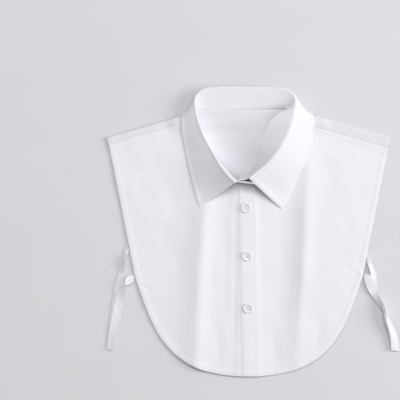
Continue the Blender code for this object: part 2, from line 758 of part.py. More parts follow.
def placket_buttons(garment, finish):
    lift = CLOTH / 2 + PLACKET_GAP + PLACKET_CLOTH + GAP
    for name, y in BUTTON_ROWS.items():
        x = placket_edge_x(y) - BUTTON_LINE_INSET
        nearby = [over_level(x + dx, y + dy) for dx in (-5, 0, 5) for dy in (-5, 0, 5)]
        spot = (x, y, max(nearby) + lift)
        button(name, BUTTON_RADIUS, BUTTON_THICK, spot, (0.0, 0.0, 0.0), garment, finish)


def stand_button(garment, finish):
    """The button that closes the stand, on the face of its over end."""
    top, foot = stand_end(OVER_END[-1:], -1)[0]
    up = (top - foot).normalized()
    out = Vector((0.0, -up.z, up.y))
    spot = foot.lerp(top, STAND_BUTTON_RISE) + out * (COLLAR_CLOTH / 2 + 2.4 * GAP)
    size = (STAND_BUTTON_RADIUS, STAND_BUTTON_THICK)
    tilt = (math.atan2(up.z, up.y), 0.0, 0.0)
    button("button_stand", *size, spot, tilt, garment, finish)


# ---------------------------------------------------------------- the garment


Garment = namedtuple("Garment", "collection cutters empty")


def clear_scene():
    for obj in list(bpy.data.objects):
        bpy.data.objects.remove(obj)


def new_collection(name):
    made = bpy.data.collections.new(name)
    bpy.context.scene.collection.children.link(made)
    return made


def set_on_table(garment):
    """Moves the garment so that the origin is under the middle of its box, on the table."""
    bpy.context.view_layer.update()
    graph = bpy.context.evaluated_depsgraph_get()
    corners = []
    for obj in garment.collection.objects:
        if obj.type == "MESH":
            whole = obj.evaluated_get(graph)
            corners += [whole.matrix_world @ Vector(corner) for corner in whole.bound_box]
    low = Vector(map(min, zip(*corners)))
    high = Vector(map(max, zip(*corners)))
    garment.empty.location = (-(low.x + high.x) / 2, -(low.y + high.y) / 2, -low.z)


def main():
    clear_scene()
    garment = Garment(
        new_collection("detachable_collar"),
        new_collection("cutters"),
        bpy.data.objects.new("garment_frame", None),
    )
    garment.collection.objects.link(garment.empty)
    cloth = material("white_shirting", (0.82, 0.82, 0.85), 0.85)
    collar_cloth = material("fused_collar_cloth", (0.83, 0.83, 0.86), 0.8)
    pearl = material("pearl_button", (0.80, 0.80, 0.82), 0.25)
    back_panel(garment, cloth)
    front_panel("right_front", -1, over_level, garment, cloth)
    front_panel("left_front", 1, front_level, garment, cloth)
    placket(garment, cloth)
    collar_stand(garment, collar_cloth)
    collar_fall(garment, collar_cloth)
    placket_buttons(garment, pearl)
    stand_button(garment, pearl)
    for name, stations in TIES.items():
        if name in TIE_LIES_WITH:
            other, shared = TIE_LIES_WITH[name]
            stations = [*stations, *lying_with(TIES[other][shared])]
        tie(name, stations, garment, cloth)
    set_on_table(garment)


main()
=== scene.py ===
"""The looks of a detachable shirt collar (dickey), laid flat with its front up.

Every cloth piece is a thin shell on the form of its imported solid, in the same frame. Lengths are in
millimetres about the garment's own middle line until a mesh is made, which turns them into metres and
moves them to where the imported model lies. +X is the wearer's left, +Y points to the neck, +Z is up.
"""

import math
from collections import namedtuple

import bpy
import numpy as np
from mathutils.geometry import delaunay_2d_cdt
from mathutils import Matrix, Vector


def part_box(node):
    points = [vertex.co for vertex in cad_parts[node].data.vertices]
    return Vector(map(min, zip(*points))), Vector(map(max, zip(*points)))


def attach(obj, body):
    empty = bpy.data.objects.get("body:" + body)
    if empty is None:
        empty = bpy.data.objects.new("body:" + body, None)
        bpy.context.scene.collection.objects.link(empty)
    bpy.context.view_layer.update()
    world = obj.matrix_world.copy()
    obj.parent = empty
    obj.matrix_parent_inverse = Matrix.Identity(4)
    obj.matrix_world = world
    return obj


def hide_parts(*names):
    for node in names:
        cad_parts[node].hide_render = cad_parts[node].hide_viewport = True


MM = 0.001

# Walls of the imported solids, which the cloth lies in.
CLOTH = 1.2
COLLAR_CLOTH = 1.5
GAP = 0.35
SEAM_GAP = 0.45

# Real cloth: one layer, the folded hem, the fused collar and the placket's three layers.
LAYER = 0.45
HEM_LAYERS = 1.0
COLLAR_LAYERS = 1.15
PLACKET_LAYERS = 1.0
TIE_LAYERS = 0.8

# The share of a wall that is left at its rounded edge, and how far a folded edge sinks.
FALL_RIM = 0.25
STAND_RIM = 0.3
TIE_RIM = 0.3
HEM_EDGE_SINK = 0.8
PLACKET_FOLD_SINK = 0.9

# Panels.
SHOULDER_TIP_X = 180.0
SHOULDER_PEAK_Y = 171.0
SHOULDER_SLOPE = math.tan(math.radians(16))
SHOULDER_DIP = 3.8
SHOULDER_DIP_MIDDLE = -1.6
SIDE_FOOT = (145.0, -56.5)
HEM_SIDE_HANDLE = (120.9, -133.0)
HEM_LOW_HANDLE_X = 101.0
HEM_LOW_Y = -184.5
BACK_SIDE_INSET = 5.0
BACK_HEM_RISE = 10.0
SEAM_DROP = {1: 14.6, -1: 10.4}
SHOULDER_PUFF = 1.7
SHOULDER_PUFF_REACH = 30.0
SIDE_SLOPE = (SHOULDER_TIP_X - SIDE_FOOT[0]) / (
    SHOULDER_PEAK_Y - SHOULDER_SLOPE * SHOULDER_TIP_X - SIDE_FOOT[1]
)

# Placket, its lap over the other front, and the button band under it.
PLACKET_WIDTH = 23.0
PLACKET_EDGE_X = 9.8
PLACKET_LEAN = 0.0217
PLACKET_TOP_Y = 64.2
PLACKET_FOLD = 1.0
PLACKET_EDGE_SINK = 0.75
PLACKET_SINK_REACH = 4.5
LAP_BLEND = 14.0
LAP_LIFT = 1.0
BAND_EDGE = 4.6
BAND_LIFT = 0.3
BAND_STITCH_INSET = 1.3

# Neck.
NECK_MIDDLE = -4.2
NECK_BACK_Y = 153.5
NECK_BACK_TUCK = 1.2
NECK_SHOULDER_HALF = 61.8
NECK_SEAM_HALF = 50.6
NECK_SEAM_Y = 144.0
NECK_FRONT_Y = 68.0
NECK_FRONT_HALF = 8.0
NECK_FLARE = 0.52
NECK_FRONT_RISE = 3.0
COLLAR_LEAN = 15.0
COLLAR_LEAN_RISE = 6.0
NECK_RISE_REACH = 14.0
NECK_BACK_RISE = 16.0
NECK_BOWL_SHAPE = 1.9
NECK_BOWL_REACH = 20.0
TUCK_LIFT = 2.6
TUCK_NECK_LIFT = 2.4

# Where a soft change starts and where it is complete, in plan.
LEAN_STARTS = (66.0, 118.0)
LEAN_ENDS = (164.0, 138.0)
NECK_RISE_OPENS = (100.0, 66.0)
FRONT_TILT_OPENS = (105.0, 66.0)
LEAF_SAG_OPENS = (96.0, 66.0)
TUCK_UP = (124.0, 138.0)
TUCK_ACROSS = (106.0, 92.0)
TUCK_NECK_UP = (143.0, 154.0)
TUCK_NECK_ACROSS = (72.0, 60.0)

# Collar.
ROLL_RADIUS = 1.6
STAND_SHORT_OF_FOLD = 4.0
STAND_STITCH = 4.0
STAND_STITCHED_FROM_Y = 151.0
STAND_TUCK = 1.1
UNDER_LEANING_WALL = 6.0
LEAF_REST = -0.85
LEAF_BELLY = 0.8
LEAF_SAG = 11.0
LEAF_EDGE_DIP = 0.55
LEAF_WAVE = 0.18
FRONT_TILT = 2.0
TIP_TILT = 1.2

# Buttons.
BUTTON_RADIUS = 6.2
BUTTON_THICK = 2.4
BUTTON_HOLE_RADIUS = 0.85
BUTTON_HOLE_PITCH = 2.9
BUTTON_LINE_INSET = 13.2
BUTTON_ROWS = {"button_top": 29.6, "button_middle": -31.4, "button_low": -97.6}
BUTTON_PROFILE = (
    # out, top and bottom, as shares of the radius and the thickness: dished, with a rounded rim
    (0.0, 0.56, 0.0),
    (0.52, 0.58, 0.0),
    (0.62, 0.66, 0.0),
    (0.7, 0.86, 0.0),
    (0.78, 0.98, 0.0),
    (0.86, 1.0, 0.06),
    (0.93, 0.94, 0.14),
    (0.975, 0.8, 0.28),
    (1.0, 0.56, 0.46),
)
STAND_BUTTON_RADIUS = 4.6
STAND_BUTTON_THICK = 1.8
BUTTONHOLE_LENGTH = 17.0

# Ties: the height of their pleats, of their hollow across and of their slow buckles.
TIE_WIDTH = 11.5
TIE_CLOTH = 1.0
TIE_PLEAT = 1.5
TIE_CUP = 0.35
TIE_BUCKLE = 0.25

# Hems and stitching.
HEM_WIDTH = 7.0
HEM_STITCH = 5.9
HEM_LIFT = 0.4
HEM_FOLD_DROP = 0.4
HEM_FOLD_REACH = 3.0
SEAM_ROLL = 0.75
SEAM_ROLL_REACH = 0.55
SEAM_LIFT = 0.3
SEAM_STITCH = 2.6
SEAM_OPEN = 0.12
LEAF_STITCH = 3.0
HEM_ROWS = (0.15, 0.5, 1.2, 2.4, 3.6, 4.6, 5.3, 5.9, 6.5, 7.1, 7.9)
SEAM_ROWS = (0.3, 0.7, 1.2, 1.9, 2.6, 3.3, 4.2)
STITCH_SINK = 0.17
STITCH_HALF_WIDTH = 0.7
STITCH_LENGTH = 2.3
STITCH_PITCH = 2.9
THREAD_RADIUS = 0.2
THREAD_FLATNESS = 1.25
STITCH_SHAPE = ((-0.5, 0.25), (-0.38, 0.85), (0.0, 1.0), (0.38, 0.85), (0.5, 0.25))
STITCH_SIDES = 6
STRAND_RADIUS = 0.16
STRAND_SIDES = 8
BAR_STEPS = 9
THREADS_PER_METRE = 2900.0

# Ripples that a row of stitching draws in the cloth, and how far they reach to both its sides.
Ripples = namedtuple("Ripples", "height wavelength seed reach")
HEM_RIPPLES = Ripples(0.11, 6.5, 3, 5.0)
HEM_DRAG = Ripples(0.16, 13.0, 5, 5.0)
HEM_DRAG_SLANT = 0.8
SEAM_RIPPLES = Ripples(0.1, 7.0, 8, 2.5)
STRIP_RIPPLES = Ripples(0.12, 11.0, 21, 4.0)
PLACKET_RIPPLES = Ripples(0.07, 6.0, 31, 2.5)
FALL_RIPPLES = Ripples(0.09, 9.0, 41, 4.0)
STAND_RIPPLES = Ripples(0.12, 8.0, 61, 3.0)

# Unevenness of worn cloth: slow waves with lengths in this range, each this share of its length high.
LIMP_WAVES = (28.0, 95.0)
LIMP_SHARE = 0.0016

# Soft vertical ridges of the two fronts. A crest's rows are y, x and height. A section's rows are the
# distance to the crest's +X side and the share of its height that is left there.
Ridge = namedtuple("Ridge", "crest section")
RIDGES = (
    Ridge(
        crest=(
            (100, -50.0, 0.0), (62, -52.5, 5.0), (25, -55.0, 6.8), (-20, -59.5, 7.2),
            (-60, -62.0, 7.2), (-110, -64.0, 6.8), (-184, -67.0, 5.0),
        ),
        section=(
            (-66, 0.0), (-46, 0.03), (-30, 0.15), (-19, 0.4), (-9, 0.76), (-3.5, 0.965), (0, 1.0),
            (3.5, 0.945), (9, 0.71), (15, 0.49), (23, 0.39), (38, 0.38), (62, 0.3), (95, 0.05), (115, 0.0),
        ),
    ),
    Ridge(
        crest=(
            (125, 76.0, 0.0), (92, 75.2, 3.5), (60, 74.2, 5.8), (10, 71.6, 6.6),
            (-30, 70.8, 6.5), (-80, 67.5, 5.6), (-130, 63.5, 3.6), (-184, 61.0, 2.0),
        ),
        section=(
            (-58, 0.0), (-32, 0.03), (-24, 0.1), (-16, 0.3), (-8, 0.67), (-3, 0.93), (0, 1.0),
            (3.5, 0.97), (9, 0.8), (15, 0.66), (24, 0.58), (50, 0.45), (80, 0.2), (110, 0.0),
        ),
    ),
)

# Small soft troughs pressed in the fronts, from one end to the other. A negative depth is a ridge.
Crease = namedtuple("Crease", "x y to_x to_y half_width depth")
CREASES = (
    # the wearer's right side, by its tie
    Crease(-141.0, -57.0, -122.0, -47.0, 2.6, 0.55),
    Crease(-141.5, -61.0, -119.0, -62.0, 2.4, 0.5),
    Crease(-140.5, -65.5, -124.0, -76.0, 2.2, 0.45),
    Crease(-143.5, -54.0, -134.0, -36.0, 2.0, 0.35),
    # the wearer's left side, by its tie
    Crease(141.0, -55.0, 121.0, -46.5, 2.6, 0.5),
    Crease(141.0, -59.0, 118.0, -63.0, 2.4, 0.5),
    Crease(139.5, -64.0, 124.0, -79.0, 2.2, 0.45),
    Crease(144.0, -51.0, 139.0, -31.0, 2.0, 0.35),
    # long soft ones down the fronts
    Crease(-31.0, 30.0, -30.0, -120.0, 7.0, 0.5),
    Crease(-18.0, 52.0, -17.0, -176.0, 3.4, 0.75),
    Crease(-42.0, -110.0, -36.0, -178.0, 7.0, 0.8),
    Crease(29.0, -120.0, 33.0, -178.0, 8.0, 0.7),
    Crease(92.0, -105.0, 84.0, -158.0, 7.0, 0.9),
    Crease(-96.0, 62.0, -104.0, -28.0, 9.0, 0.4),
    Crease(101.0, 98.0, 98.0, 10.0, 10.0, 0.4),
    Crease(122.0, 30.0, 118.0, -60.0, 10.0, 0.35),
)

# Collar sections from the front opening to the centre back, as in the solids. x is a middle and a half
# width. The fold is the collar's top line, the foot is sewn to the neck and the edge is the leaf's.
Section = namedtuple(
    "Section",
    "fold_mid fold_half fold_y fold_z foot_mid foot_half foot_y foot_z"
    " knee edge_mid edge_half edge_y edge_past edge_z",
)
SECTIONS = tuple(
    Section(*row)
    for row in (
        (-8.2, 7.5, 65.0, 36.0, -7.6, 9.5, 70.0, None, None, -10.4, 52.8, 28.4, None, None),
        (-7.8, 17.5, 73.6, 34.6, -7.0, 15.5, 77.0, None, None, -8.8, 58.5, 41.5, None, None),
        (-5.8, 30.6, 87.0, 31.8, -5.4, 23.5, 90.0, None, None, -7.0, 65.0, 58.5, None, None),
        (-4.2, 42.5, 104.0, 28.6, -4.2, 30.5, 107.0, None, None, -4.8, 72.6, 80.0, None, None),
        (-4.0, 51.5, 120.0, 26.0, -4.2, 37.0, 123.0, None, None, -2.8, 79.0, 102.0, None, None),
        (-3.9, 58.0, 137.0, 23.8, -4.2, 44.5, 139.0, None, None, -2.0, 83.2, 121.0, None, None),
        (-4.0, 61.4, 150.0, 22.2, -4.2, 49.8, 148.0, None, None, -1.6, 85.0, 136.0, None, None),
        (-4.1, 62.6, 159.0, 20.2, -4.2, 53.5, 152.0, None, None, -1.6, 84.0, 145.0, None, None),
        (-4.2, 62.8, 166.0, 17.5, -4.2, 55.0, 154.2, 6.4, None, -1.6, 81.6, None, 2.8, 3.2),
        (-4.2, 61.0, 172.0, 17.0, -4.2, 52.0, 155.0, 5.4, (71.0, 161.5, 5.0), -2.0, 76.8, None, 2.5, 1.0),
        (-4.2, 56.8, 177.0, 16.5, -4.2, 46.0, 154.8, 5.0, (66.5, 159.0, -1.0), -3.0, 69.0, None, -6.4, 0.9),
        (-4.2, 47.0, 181.2, 16.0, -4.2, 37.0, 154.4, 5.0, (55.0, 159.2, -0.8), -3.6, 56.0, 144.5, None, 0.9),
        (-4.2, 24.0, 182.4, 15.0, -4.2, 19.0, 154.2, 5.0, (26.0, 158.0, -0.3), -4.2, 27.0, 142.0, None, 0.9),
        (-4.2, 0.0, 182.4, 14.5, -4.2, 0.0, 154.2, 5.0, (0.0, 158.0, -0.2), -4.2, 0.0, 141.0, None, 0.9),
    )
)
StandEnd = namedtuple("StandEnd", "x top_y top_z foot_y")
OVER_END = (
    StandEnd(8.3, 60.6, 29.4, 66.4),
    StandEnd(2.0, 61.1, 30.8, 66.9),
    StandEnd(-4.7, 61.8, 31.8, 67.6),
)
UNDER_END = (
    StandEnd(-6.0, 65.4, 31.8, 71.4),
    StandEnd(-12.6, 65.8, 31.2, 72.4),
)

# Ties, as in the solids: stations along each strip, with the direction across it.
TieStation = namedtuple("TieStation", "x y z across")
TIES = {
    name: [TieStation(*row) for row in rows]
    for name, rows in {
        "tie_right_front": (
            (-145.9, -60.0, 4.0, (0.10, 0.62, 0.00)),
            (-150.0, -61.5, 4.6, (0.05, 0.95, 0.05)),
            (-156.0, -64.0, 5.6, (0.12, 0.95, 0.25)),
            (-160.0, -68.0, 6.6, (0.60, 0.60, 0.60)),
            (-162.2, -75.0, 5.4, (0.92, 0.25, 0.42)),
            (-164.6, -90.0, 3.0, (0.98, -0.20, 0.10)),
            (-168.3, -109.4, 2.8, (0.98, -0.20, 0.05)),
            (-172.4, -125.5, 3.2, (0.84, -0.20, 0.20)),
            (-175.0, -140.6, 3.4, (0.72, -0.20, 0.24)),
            (-176.6, -151.0, 3.4, (0.68, -0.18, 0.26)),
        ),
        "tie_right_back": (
            (-151.6, -14.0, 0.8, (-0.10, 0.46, 0.00)),
            (-153.9, -20.0, 0.8, (-0.34, 0.24, 0.00)),
            (-156.6, -28.0, 2.8, (-0.47, 0.12, -0.36)),
            (-158.6, -36.0, 4.4, (-0.48, 0.12, -0.62)),
            (-160.6, -45.0, 3.6, (-0.55, 0.12, -0.46)),
            (-162.0, -57.0, 1.2, (-0.80, 0.20, -0.08)),
            (-164.6, -68.0, 0.7, (-0.92, 0.22, 0.00)),
            (-168.2, -91.0, 0.7, (-0.98, 0.16, 0.00)),
            (-171.0, -109.4, 0.7, (-0.98, 0.16, 0.00)),
            (-173.6, -125.0, 0.7, (-0.80, 0.16, 0.00)),
            (-175.4, -138.0, 0.7, (-0.70, 0.14, 0.00)),
        ),
        "tie_left_front": (
            (146.6, -56.0, 4.2, (0.16, 0.50, 0.00)),
            (150.6, -60.4, 4.8, (0.50, 0.80, 0.10)),
            (154.6, -68.3, 4.6, (0.92, 0.34, 0.10)),
            (158.0, -75.2, 4.4, (0.92, 0.34, 0.05)),
            (161.6, -82.1, 5.2, (0.80, 0.30, 0.42)),
            (165.4, -89.5, 6.6, (0.56, 0.22, 0.74)),
            (168.2, -95.9, 7.4, (0.36, 0.14, 0.90)),
            (170.9, -102.8, 7.4, (0.05, 0.02, 1.00)),
            (175.4, -113.9, 6.6, (-0.46, -0.16, 0.86)),
            (180.8, -126.6, 4.8, (-0.66, -0.18, 0.60)),
            (184.1, -138.2, 3.4, (-0.80, -0.12, 0.34)),
            (185.8, -151.5, 2.2, (-0.92, 0.05, 0.16)),
        ),
        "tie_left_back": (
            (148.6, -27.0, 0.8, (0.10, 0.46, 0.00)),
            (150.6, -33.5, 0.9, (0.34, 0.24, 0.00)),
            (154.0, -42.0, 2.8, (0.44, 0.12, -0.30)),
            (156.8, -50.0, 3.4, (0.54, 0.12, -0.40)),
            (158.4, -57.5, 2.6, (0.70, 0.18, -0.20)),
        ),
    }.items()
}
TIE_LIES_WITH = {"tie_left_back": ("tie_left_front", slice(3, None))}
TIE_STACK = TIE_CLOTH + GAP + 0.35

# The cut of what each cloth piece shows, in metres: width, length and area.
Cut = namedtuple("Cut", "width length area")

# Fineness of the meshes.
LATTICE = 1.5
BACK_LATTICE = 2.5
OUTLINE_STEP = 1.2
RING_STEPS = 14
ROLL_STEPS = 9
STAND_STEPS = 22
TIE_STEPS = 9
TIE_COLUMNS = 12
WRAP_STEPS = 12
STRIP_STEPS = 16

# Stitched lines of the placket and the ripples along them, as distances from its free edge.
PLACKET_STITCHES = (5.0, 17.9)
PLACKET_RIPPLES_AT = (5.0, 17.6)

# Puckers of the placket above and below each button, and the dip that the button sits in.
BUTTON_DIP = 0.25
BUTTON_DIP_REACH = (10.0, 5.0)
PUCKER_LEAN = 0.12
Pucker = namedtuple("Pucker", "across up length half_width depth")
PUCKERS = (
    Pucker(-0.3, 9.5, 8.0, 0.8, 0.32),
    Pucker(-3.4, 9.0, 6.5, 0.7, 0.26),
    Pucker(3.0, 8.6, 6.0, 0.7, 0.26),
    Pucker(0.2, -10.0, 9.0, 0.8, 0.34),
    Pucker(-2.6, -8.8, 5.5, 0.7, 0.2),
    Pucker(3.3, -9.4, 7.0, 0.8, 0.24),
)

# Camera and light. The view and the sensor are in millimetres, the rest in metres and watts.
VIEW_MIDDLE = (-61.9, 39.8)
VIEW_WIDTH = 508.8
CAMERA_HEIGHT = 2.6
SENSOR = 36.0
LIGHT_SIZE = 1.8
LIGHTS = {"overhead": ((0.1, 1.2, 3.85), 90.0), "side": ((3.0, 0.2, 1.9), 70.0)}
ROOM_LIGHT = 0.285
FLOOR_SIZE = 6.0


# ---------------------------------------------------------------- small tools


def smooth(start, end, value):
    """0 at start and 1 at end, with a soft rise between."""
    share = np.clip((value - start) / (end - start), 0.0, 1.0)
    return share * share * (3.0 - 2.0 * share)


def hump(value, middle, half_width):
    """1 at the middle, with a soft fall to 0 on both its sides."""
    return np.exp(-(((value - middle) / half_width) ** 2))


def unit(vectors):
    """The same directions with length 1."""
    return vectors / np.linalg.norm(vectors, axis=-1, keepdims=True)


def fullness(from_edge, half):
    """The share of a wall that its rounded edge leaves: 0 at the edge and 1 from half a wall in."""
    return np.sqrt(1.0 - (1.0 - np.clip(from_edge / half, 0.0, 1.0)) ** 2)


def rounded_wall(half, from_edge, rim):
    """Half a wall's thickness, which thins to the rim's share of it at the rounded edge."""
    return half * (rim + (1.0 - rim) * fullness(from_edge, half))


def at_place(line, place):
    """A value on a line of values, at a place that may lie between two of them."""
    low = min(int(place), len(line) - 2)
    return line[low] + (line[low + 1] - line[low]) * (place - low)


def through(points, steps):
    """A smooth line through the points, with some steps to each stretch between two of them."""
    points = np.asarray(points, float)
    ends = np.vstack([2 * points[0] - points[1], points, 2 * points[-1] - points[-2]])
    t = (np.arange(steps) / steps)[:, None]
    line = []
    for before, a, b, after in zip(ends, ends[1:], ends[2:], ends[3:]):
        rise = (b - before) * t
        bend = (2 * before - 5 * a + 4 * b - after) * t**2
        twist = (3 * a - before - 3 * b + after) * t**3
        line.append(0.5 * (2 * a + rise + bend + twist))
    return np.vstack([*line, points[-1:]])


def lengths_along(points):
    """How far along a line each of its points lies."""
    steps = np.linalg.norm(np.diff(points, axis=0), axis=1)
    return np.concatenate([[0.0], np.cumsum(steps)])


def spaced(points, spacing):
    """The same line with points about one spacing apart."""
    points = np.asarray(points, float)
    lengths = lengths_along(points)
    count = max(int(math.ceil(lengths[-1] / spacing)), 1)
    wanted = np.linspace(0.0, lengths[-1], count + 1)
    return np.column_stack([np.interp(wanted, lengths, axis) for axis in points.T])


def moved_out(points, distance):
    """A line in plan moved sideways, to the left of its own direction."""
    ahead = np.gradient(points[:, :2], axis=0)
    return points[:, :2] + unit(np.column_stack([-ahead[:, 1], ahead[:, 0]])) * distance


def beside(points, line):
    """Each plan point's distance from a line, and how far along the line it lies."""
    starts = lengths_along(line)
    near = np.full(len(points), np.inf)
    where = np.zeros(len(points))
    for start, a, b in zip(starts, line, line[1:]):
        step = b - a
        long = np.linalg.norm(step)
        if long < 1e-9:
            continue
        share = np.clip((points - a) @ step / long**2, 0.0, 1.0)
        away = np.linalg.norm(points - a - share[:, None] * step, axis=1)
        closer = away < near
        near[closer] = away[closer]
        where[closer] = start + share[closer] * long
    return near, where


def inside(points, outline):
    """Which plan points lie inside a closed outline."""
    x, y = points.T
    within = np.zeros(len(points), bool)
    for (ax, ay), (bx, by) in zip(outline, np.roll(outline, -1, axis=0)):
        if ay == by:
            continue
        crosses = (ay > y) != (by > y)
        within ^= crosses & (x < (bx - ax) * (y - ay) / (by - ay) + ax)
    return within


def ripple(along, wavelength, seed):
    """An uneven wave along a line, from -1 to 1."""
    phases = np.random.default_rng(seed).uniform(0.0, 2 * math.pi, 4)
    parts = ((0.45, 1.0), (0.3, 0.73), (0.25, 1.61), (0.4, 7.3))
    *waves, swell = (
        size * np.sin(2 * math.pi * along / (wavelength * longer) + phase)
        for (size, longer), phase in zip(parts, phases)
    )
    return sum(waves) * (0.6 + swell)


def drawn(ripples, along, away, middle):
    """Ripples along a row of stitching that lies in the middle of them."""
    wave = ripple(along, ripples.wavelength, ripples.seed)
    return ripples.height * wave * hump(away, middle, ripples.reach)


def groove(away, middle, half_width=STITCH_HALF_WIDTH):
    """How far a row of stitching sinks the cloth."""
    return STITCH_SINK * hump(away, middle, half_width)


# ---------------------------------------------------------------- levels of the cloth


def shoulder_line(x):
    """The straight line of the shoulders, which slopes down to both tips."""
    return SHOULDER_PEAK_Y - SHOULDER_SLOPE * np.abs(x)


def shoulder_y(x):
    """The shoulder fold in plan, which dips where the collar pulls on it."""
    return shoulder_line(x) - SHOULDER_DIP * smooth(87.0, 81.0, np.abs(x - SHOULDER_DIP_MIDDLE))


def ridge_height(ridge, x, y):
    """How far one ridge lifts the fronts."""
    crest_y, crest_x, crest_height = through(ridge.crest, 8)[::-1].T
    away, share = through(ridge.section, 8).T
    height = np.maximum(np.interp(y, crest_y, crest_height), 0.0)
    return height * np.interp(x - np.interp(y, crest_y, crest_x), away, share)


def leaning(y):
    """The share of the collar's lean towards +X at a distance up the neck."""
    return smooth(*LEAN_STARTS, y) * smooth(*LEAN_ENDS, y)


def seam_middle():
    """The middle between the two shoulder seams' ends at the neck."""
    return NECK_MIDDLE - COLLAR_LEAN * leaning(NECK_SEAM_Y)


def neck_half(y):
    """Half the width of the neck at a distance up it."""
    return NECK_FRONT_HALF + NECK_FLARE * np.maximum(y - NECK_FRONT_Y, 0.0)


def neck_distance(x, y):
    """How far a point is outside the neck seam, or how far inside it where that is negative."""
    ahead = np.maximum(NECK_FRONT_Y - y, 0.0)
    middle = NECK_MIDDLE - COLLAR_LEAN * leaning(y)
    beside_neck = (np.abs(x - middle) - neck_half(y)) / math.hypot(1.0, NECK_FLARE)
    return np.where(ahead > 0.0, np.hypot(np.maximum(beside_neck, 0.0), ahead), beside_neck)


def neck_rise(x, y):
    """How far the stand lifts the fronts' cloth at the front of the neck."""
    outside = np.maximum(neck_distance(x, y), 0.0)
    return NECK_FRONT_RISE * np.exp(-outside / NECK_RISE_REACH) * smooth(*NECK_RISE_OPENS, y)


def bowl_rise(x, y):
    """How far the back panel rises across the neck towards the collar's leaning side."""
    from_middle = x - NECK_MIDDLE + COLLAR_LEAN * leaning(y)
    across = np.clip(0.5 + from_middle / (2 * neck_half(y)), 0.0, 1.3) ** NECK_BOWL_SHAPE
    outside = np.maximum(neck_distance(x, y), 0.0) / NECK_BOWL_REACH
    return NECK_BACK_RISE * across * np.exp(-(outside**2)) * leaning(y)


def back_level(x, y):
    """Middle of the back panel's wall: on the table, or over the leaf that is folded under it."""
    over_leaf = smooth(*TUCK_UP, y) * smooth(*TUCK_ACROSS, np.abs(x))
    at_neck = smooth(*TUCK_NECK_UP, y) * smooth(*TUCK_NECK_ACROSS, np.abs(x - NECK_MIDDLE))
    return CLOTH / 2 + TUCK_LIFT * over_leaf + TUCK_NECK_LIFT * at_neck + bowl_rise(x, y)


def front_level(x, y):
    """Middle of the fronts' wall, which lies on the back with soft ridges."""
    level = back_level(x, np.minimum(y, 140.0)) + CLOTH + GAP + neck_rise(x, y)
    level += SHOULDER_PUFF * smooth(SHOULDER_PUFF_REACH, 0.0, shoulder_y(x) - y)
    for ridge in RIDGES:
        level = level + ridge_height(ridge, x, y)
    return level


def placket_edge_x(y):
    """The free edge of the placket, which leans a little."""
    return PLACKET_EDGE_X - PLACKET_LEAN * y


def over_level(x, y):
    """Middle of the wearer's right front's wall, which climbs over the other front's edge."""
    under_edge = placket_edge_x(y) - PLACKET_WIDTH
    return front_level(x, y) + LAP_LIFT * smooth(under_edge - LAP_BLEND, under_edge - 2.0, x)


def creased(x, y):
    """How far the small creases press the fronts in."""
    sunk = np.zeros_like(x)
    for crease in CREASES:
        step_x, step_y = crease.to_x - crease.x, crease.to_y - crease.y
        long = math.hypot(step_x, step_y)
        share = ((x - crease.x) * step_x + (y - crease.y) * step_y) / long**2
        away = ((x - crease.x) * step_y - (y - crease.y) * step_x) / long
        fade = smooth(-0.05, 0.25, share) * smooth(1.1, 0.6, share)
        sunk += crease.depth * fade * hump(away, 0.0, crease.half_width)
    return sunk


def limpness(x, y):
    """Slight unevenness of cloth that has been worn and laid down."""
    draw = np.random.default_rng(11)
    level = np.zeros_like(x)
    for _ in range(9):
        wavelength = draw.uniform(*LIMP_WAVES)
        turn = draw.uniform(0.0, math.pi)
        phase = draw.uniform(0.0, 2 * math.pi)
        across = x * math.cos(turn) + y * math.sin(turn)
        level += LIMP_SHARE * wavelength * np.sin(2 * math.pi * across / wavelength + phase)
    return level


def hem_relief(away, along):
    """The folded hem lifts the face, its stitching sinks it and draws it into small ripples."""
    lift = HEM_LIFT * smooth(HEM_WIDTH + 0.7, HEM_WIDTH - 0.7, away)
    lift -= groove(away, HEM_STITCH) + HEM_FOLD_DROP * smooth(HEM_FOLD_REACH, 0.0, away)
    lift += drawn(HEM_RIPPLES, along, away, HEM_STITCH - 1.5)
    return lift + drawn(HEM_DRAG, along + HEM_DRAG_SLANT * away, away, HEM_STITCH - 1.5)


def seam_relief(away, along):
    """The cloth rolls down into a seam, with a row of stitching beside it."""
    lift = -SEAM_ROLL * np.exp(-away / SEAM_ROLL_REACH)
    lift += SEAM_LIFT * smooth(SEAM_STITCH + 3.2, SEAM_STITCH, away)
    return lift - groove(away, SEAM_STITCH) + drawn(SEAM_RIPPLES, along, away, SEAM_STITCH)


# ---------------------------------------------------------------- outlines in plan


def hem_and_side(side):
    """The round hem from under the placket to its corner, then the side edge to the shoulder tip."""
    t = np.linspace(0.0, 1.0, 121)[:, None]
    rest = 1.0 - t
    shares = (rest**3, 3 * rest**2 * t, 3 * rest * t**2, t**3)
    handles = ((0.0, HEM_LOW_Y), (HEM_LOW_HANDLE_X, HEM_LOW_Y), HEM_SIDE_HANDLE, SIDE_FOOT)
    curve = sum(share * np.array(handle) for share, handle in zip(shares, handles))
    tip = (SHOULDER_TIP_X, shoulder_line(SHOULDER_TIP_X))
    return spaced(np.vstack([curve, tip]), OUTLINE_STEP) * (side, 1.0)


def hem_from(line, start_x, side):
    """The hem line from the front edge on, for an edge on either side of the middle."""
    ahead = line[side * line[:, 0] > side * start_x + 0.6] if side * start_x > 0 else line
    first = np.array([[start_x, HEM_LOW_Y]])
    return np.vstack([first, ahead[np.abs(ahead[:, 0] - start_x) > 0.5]])


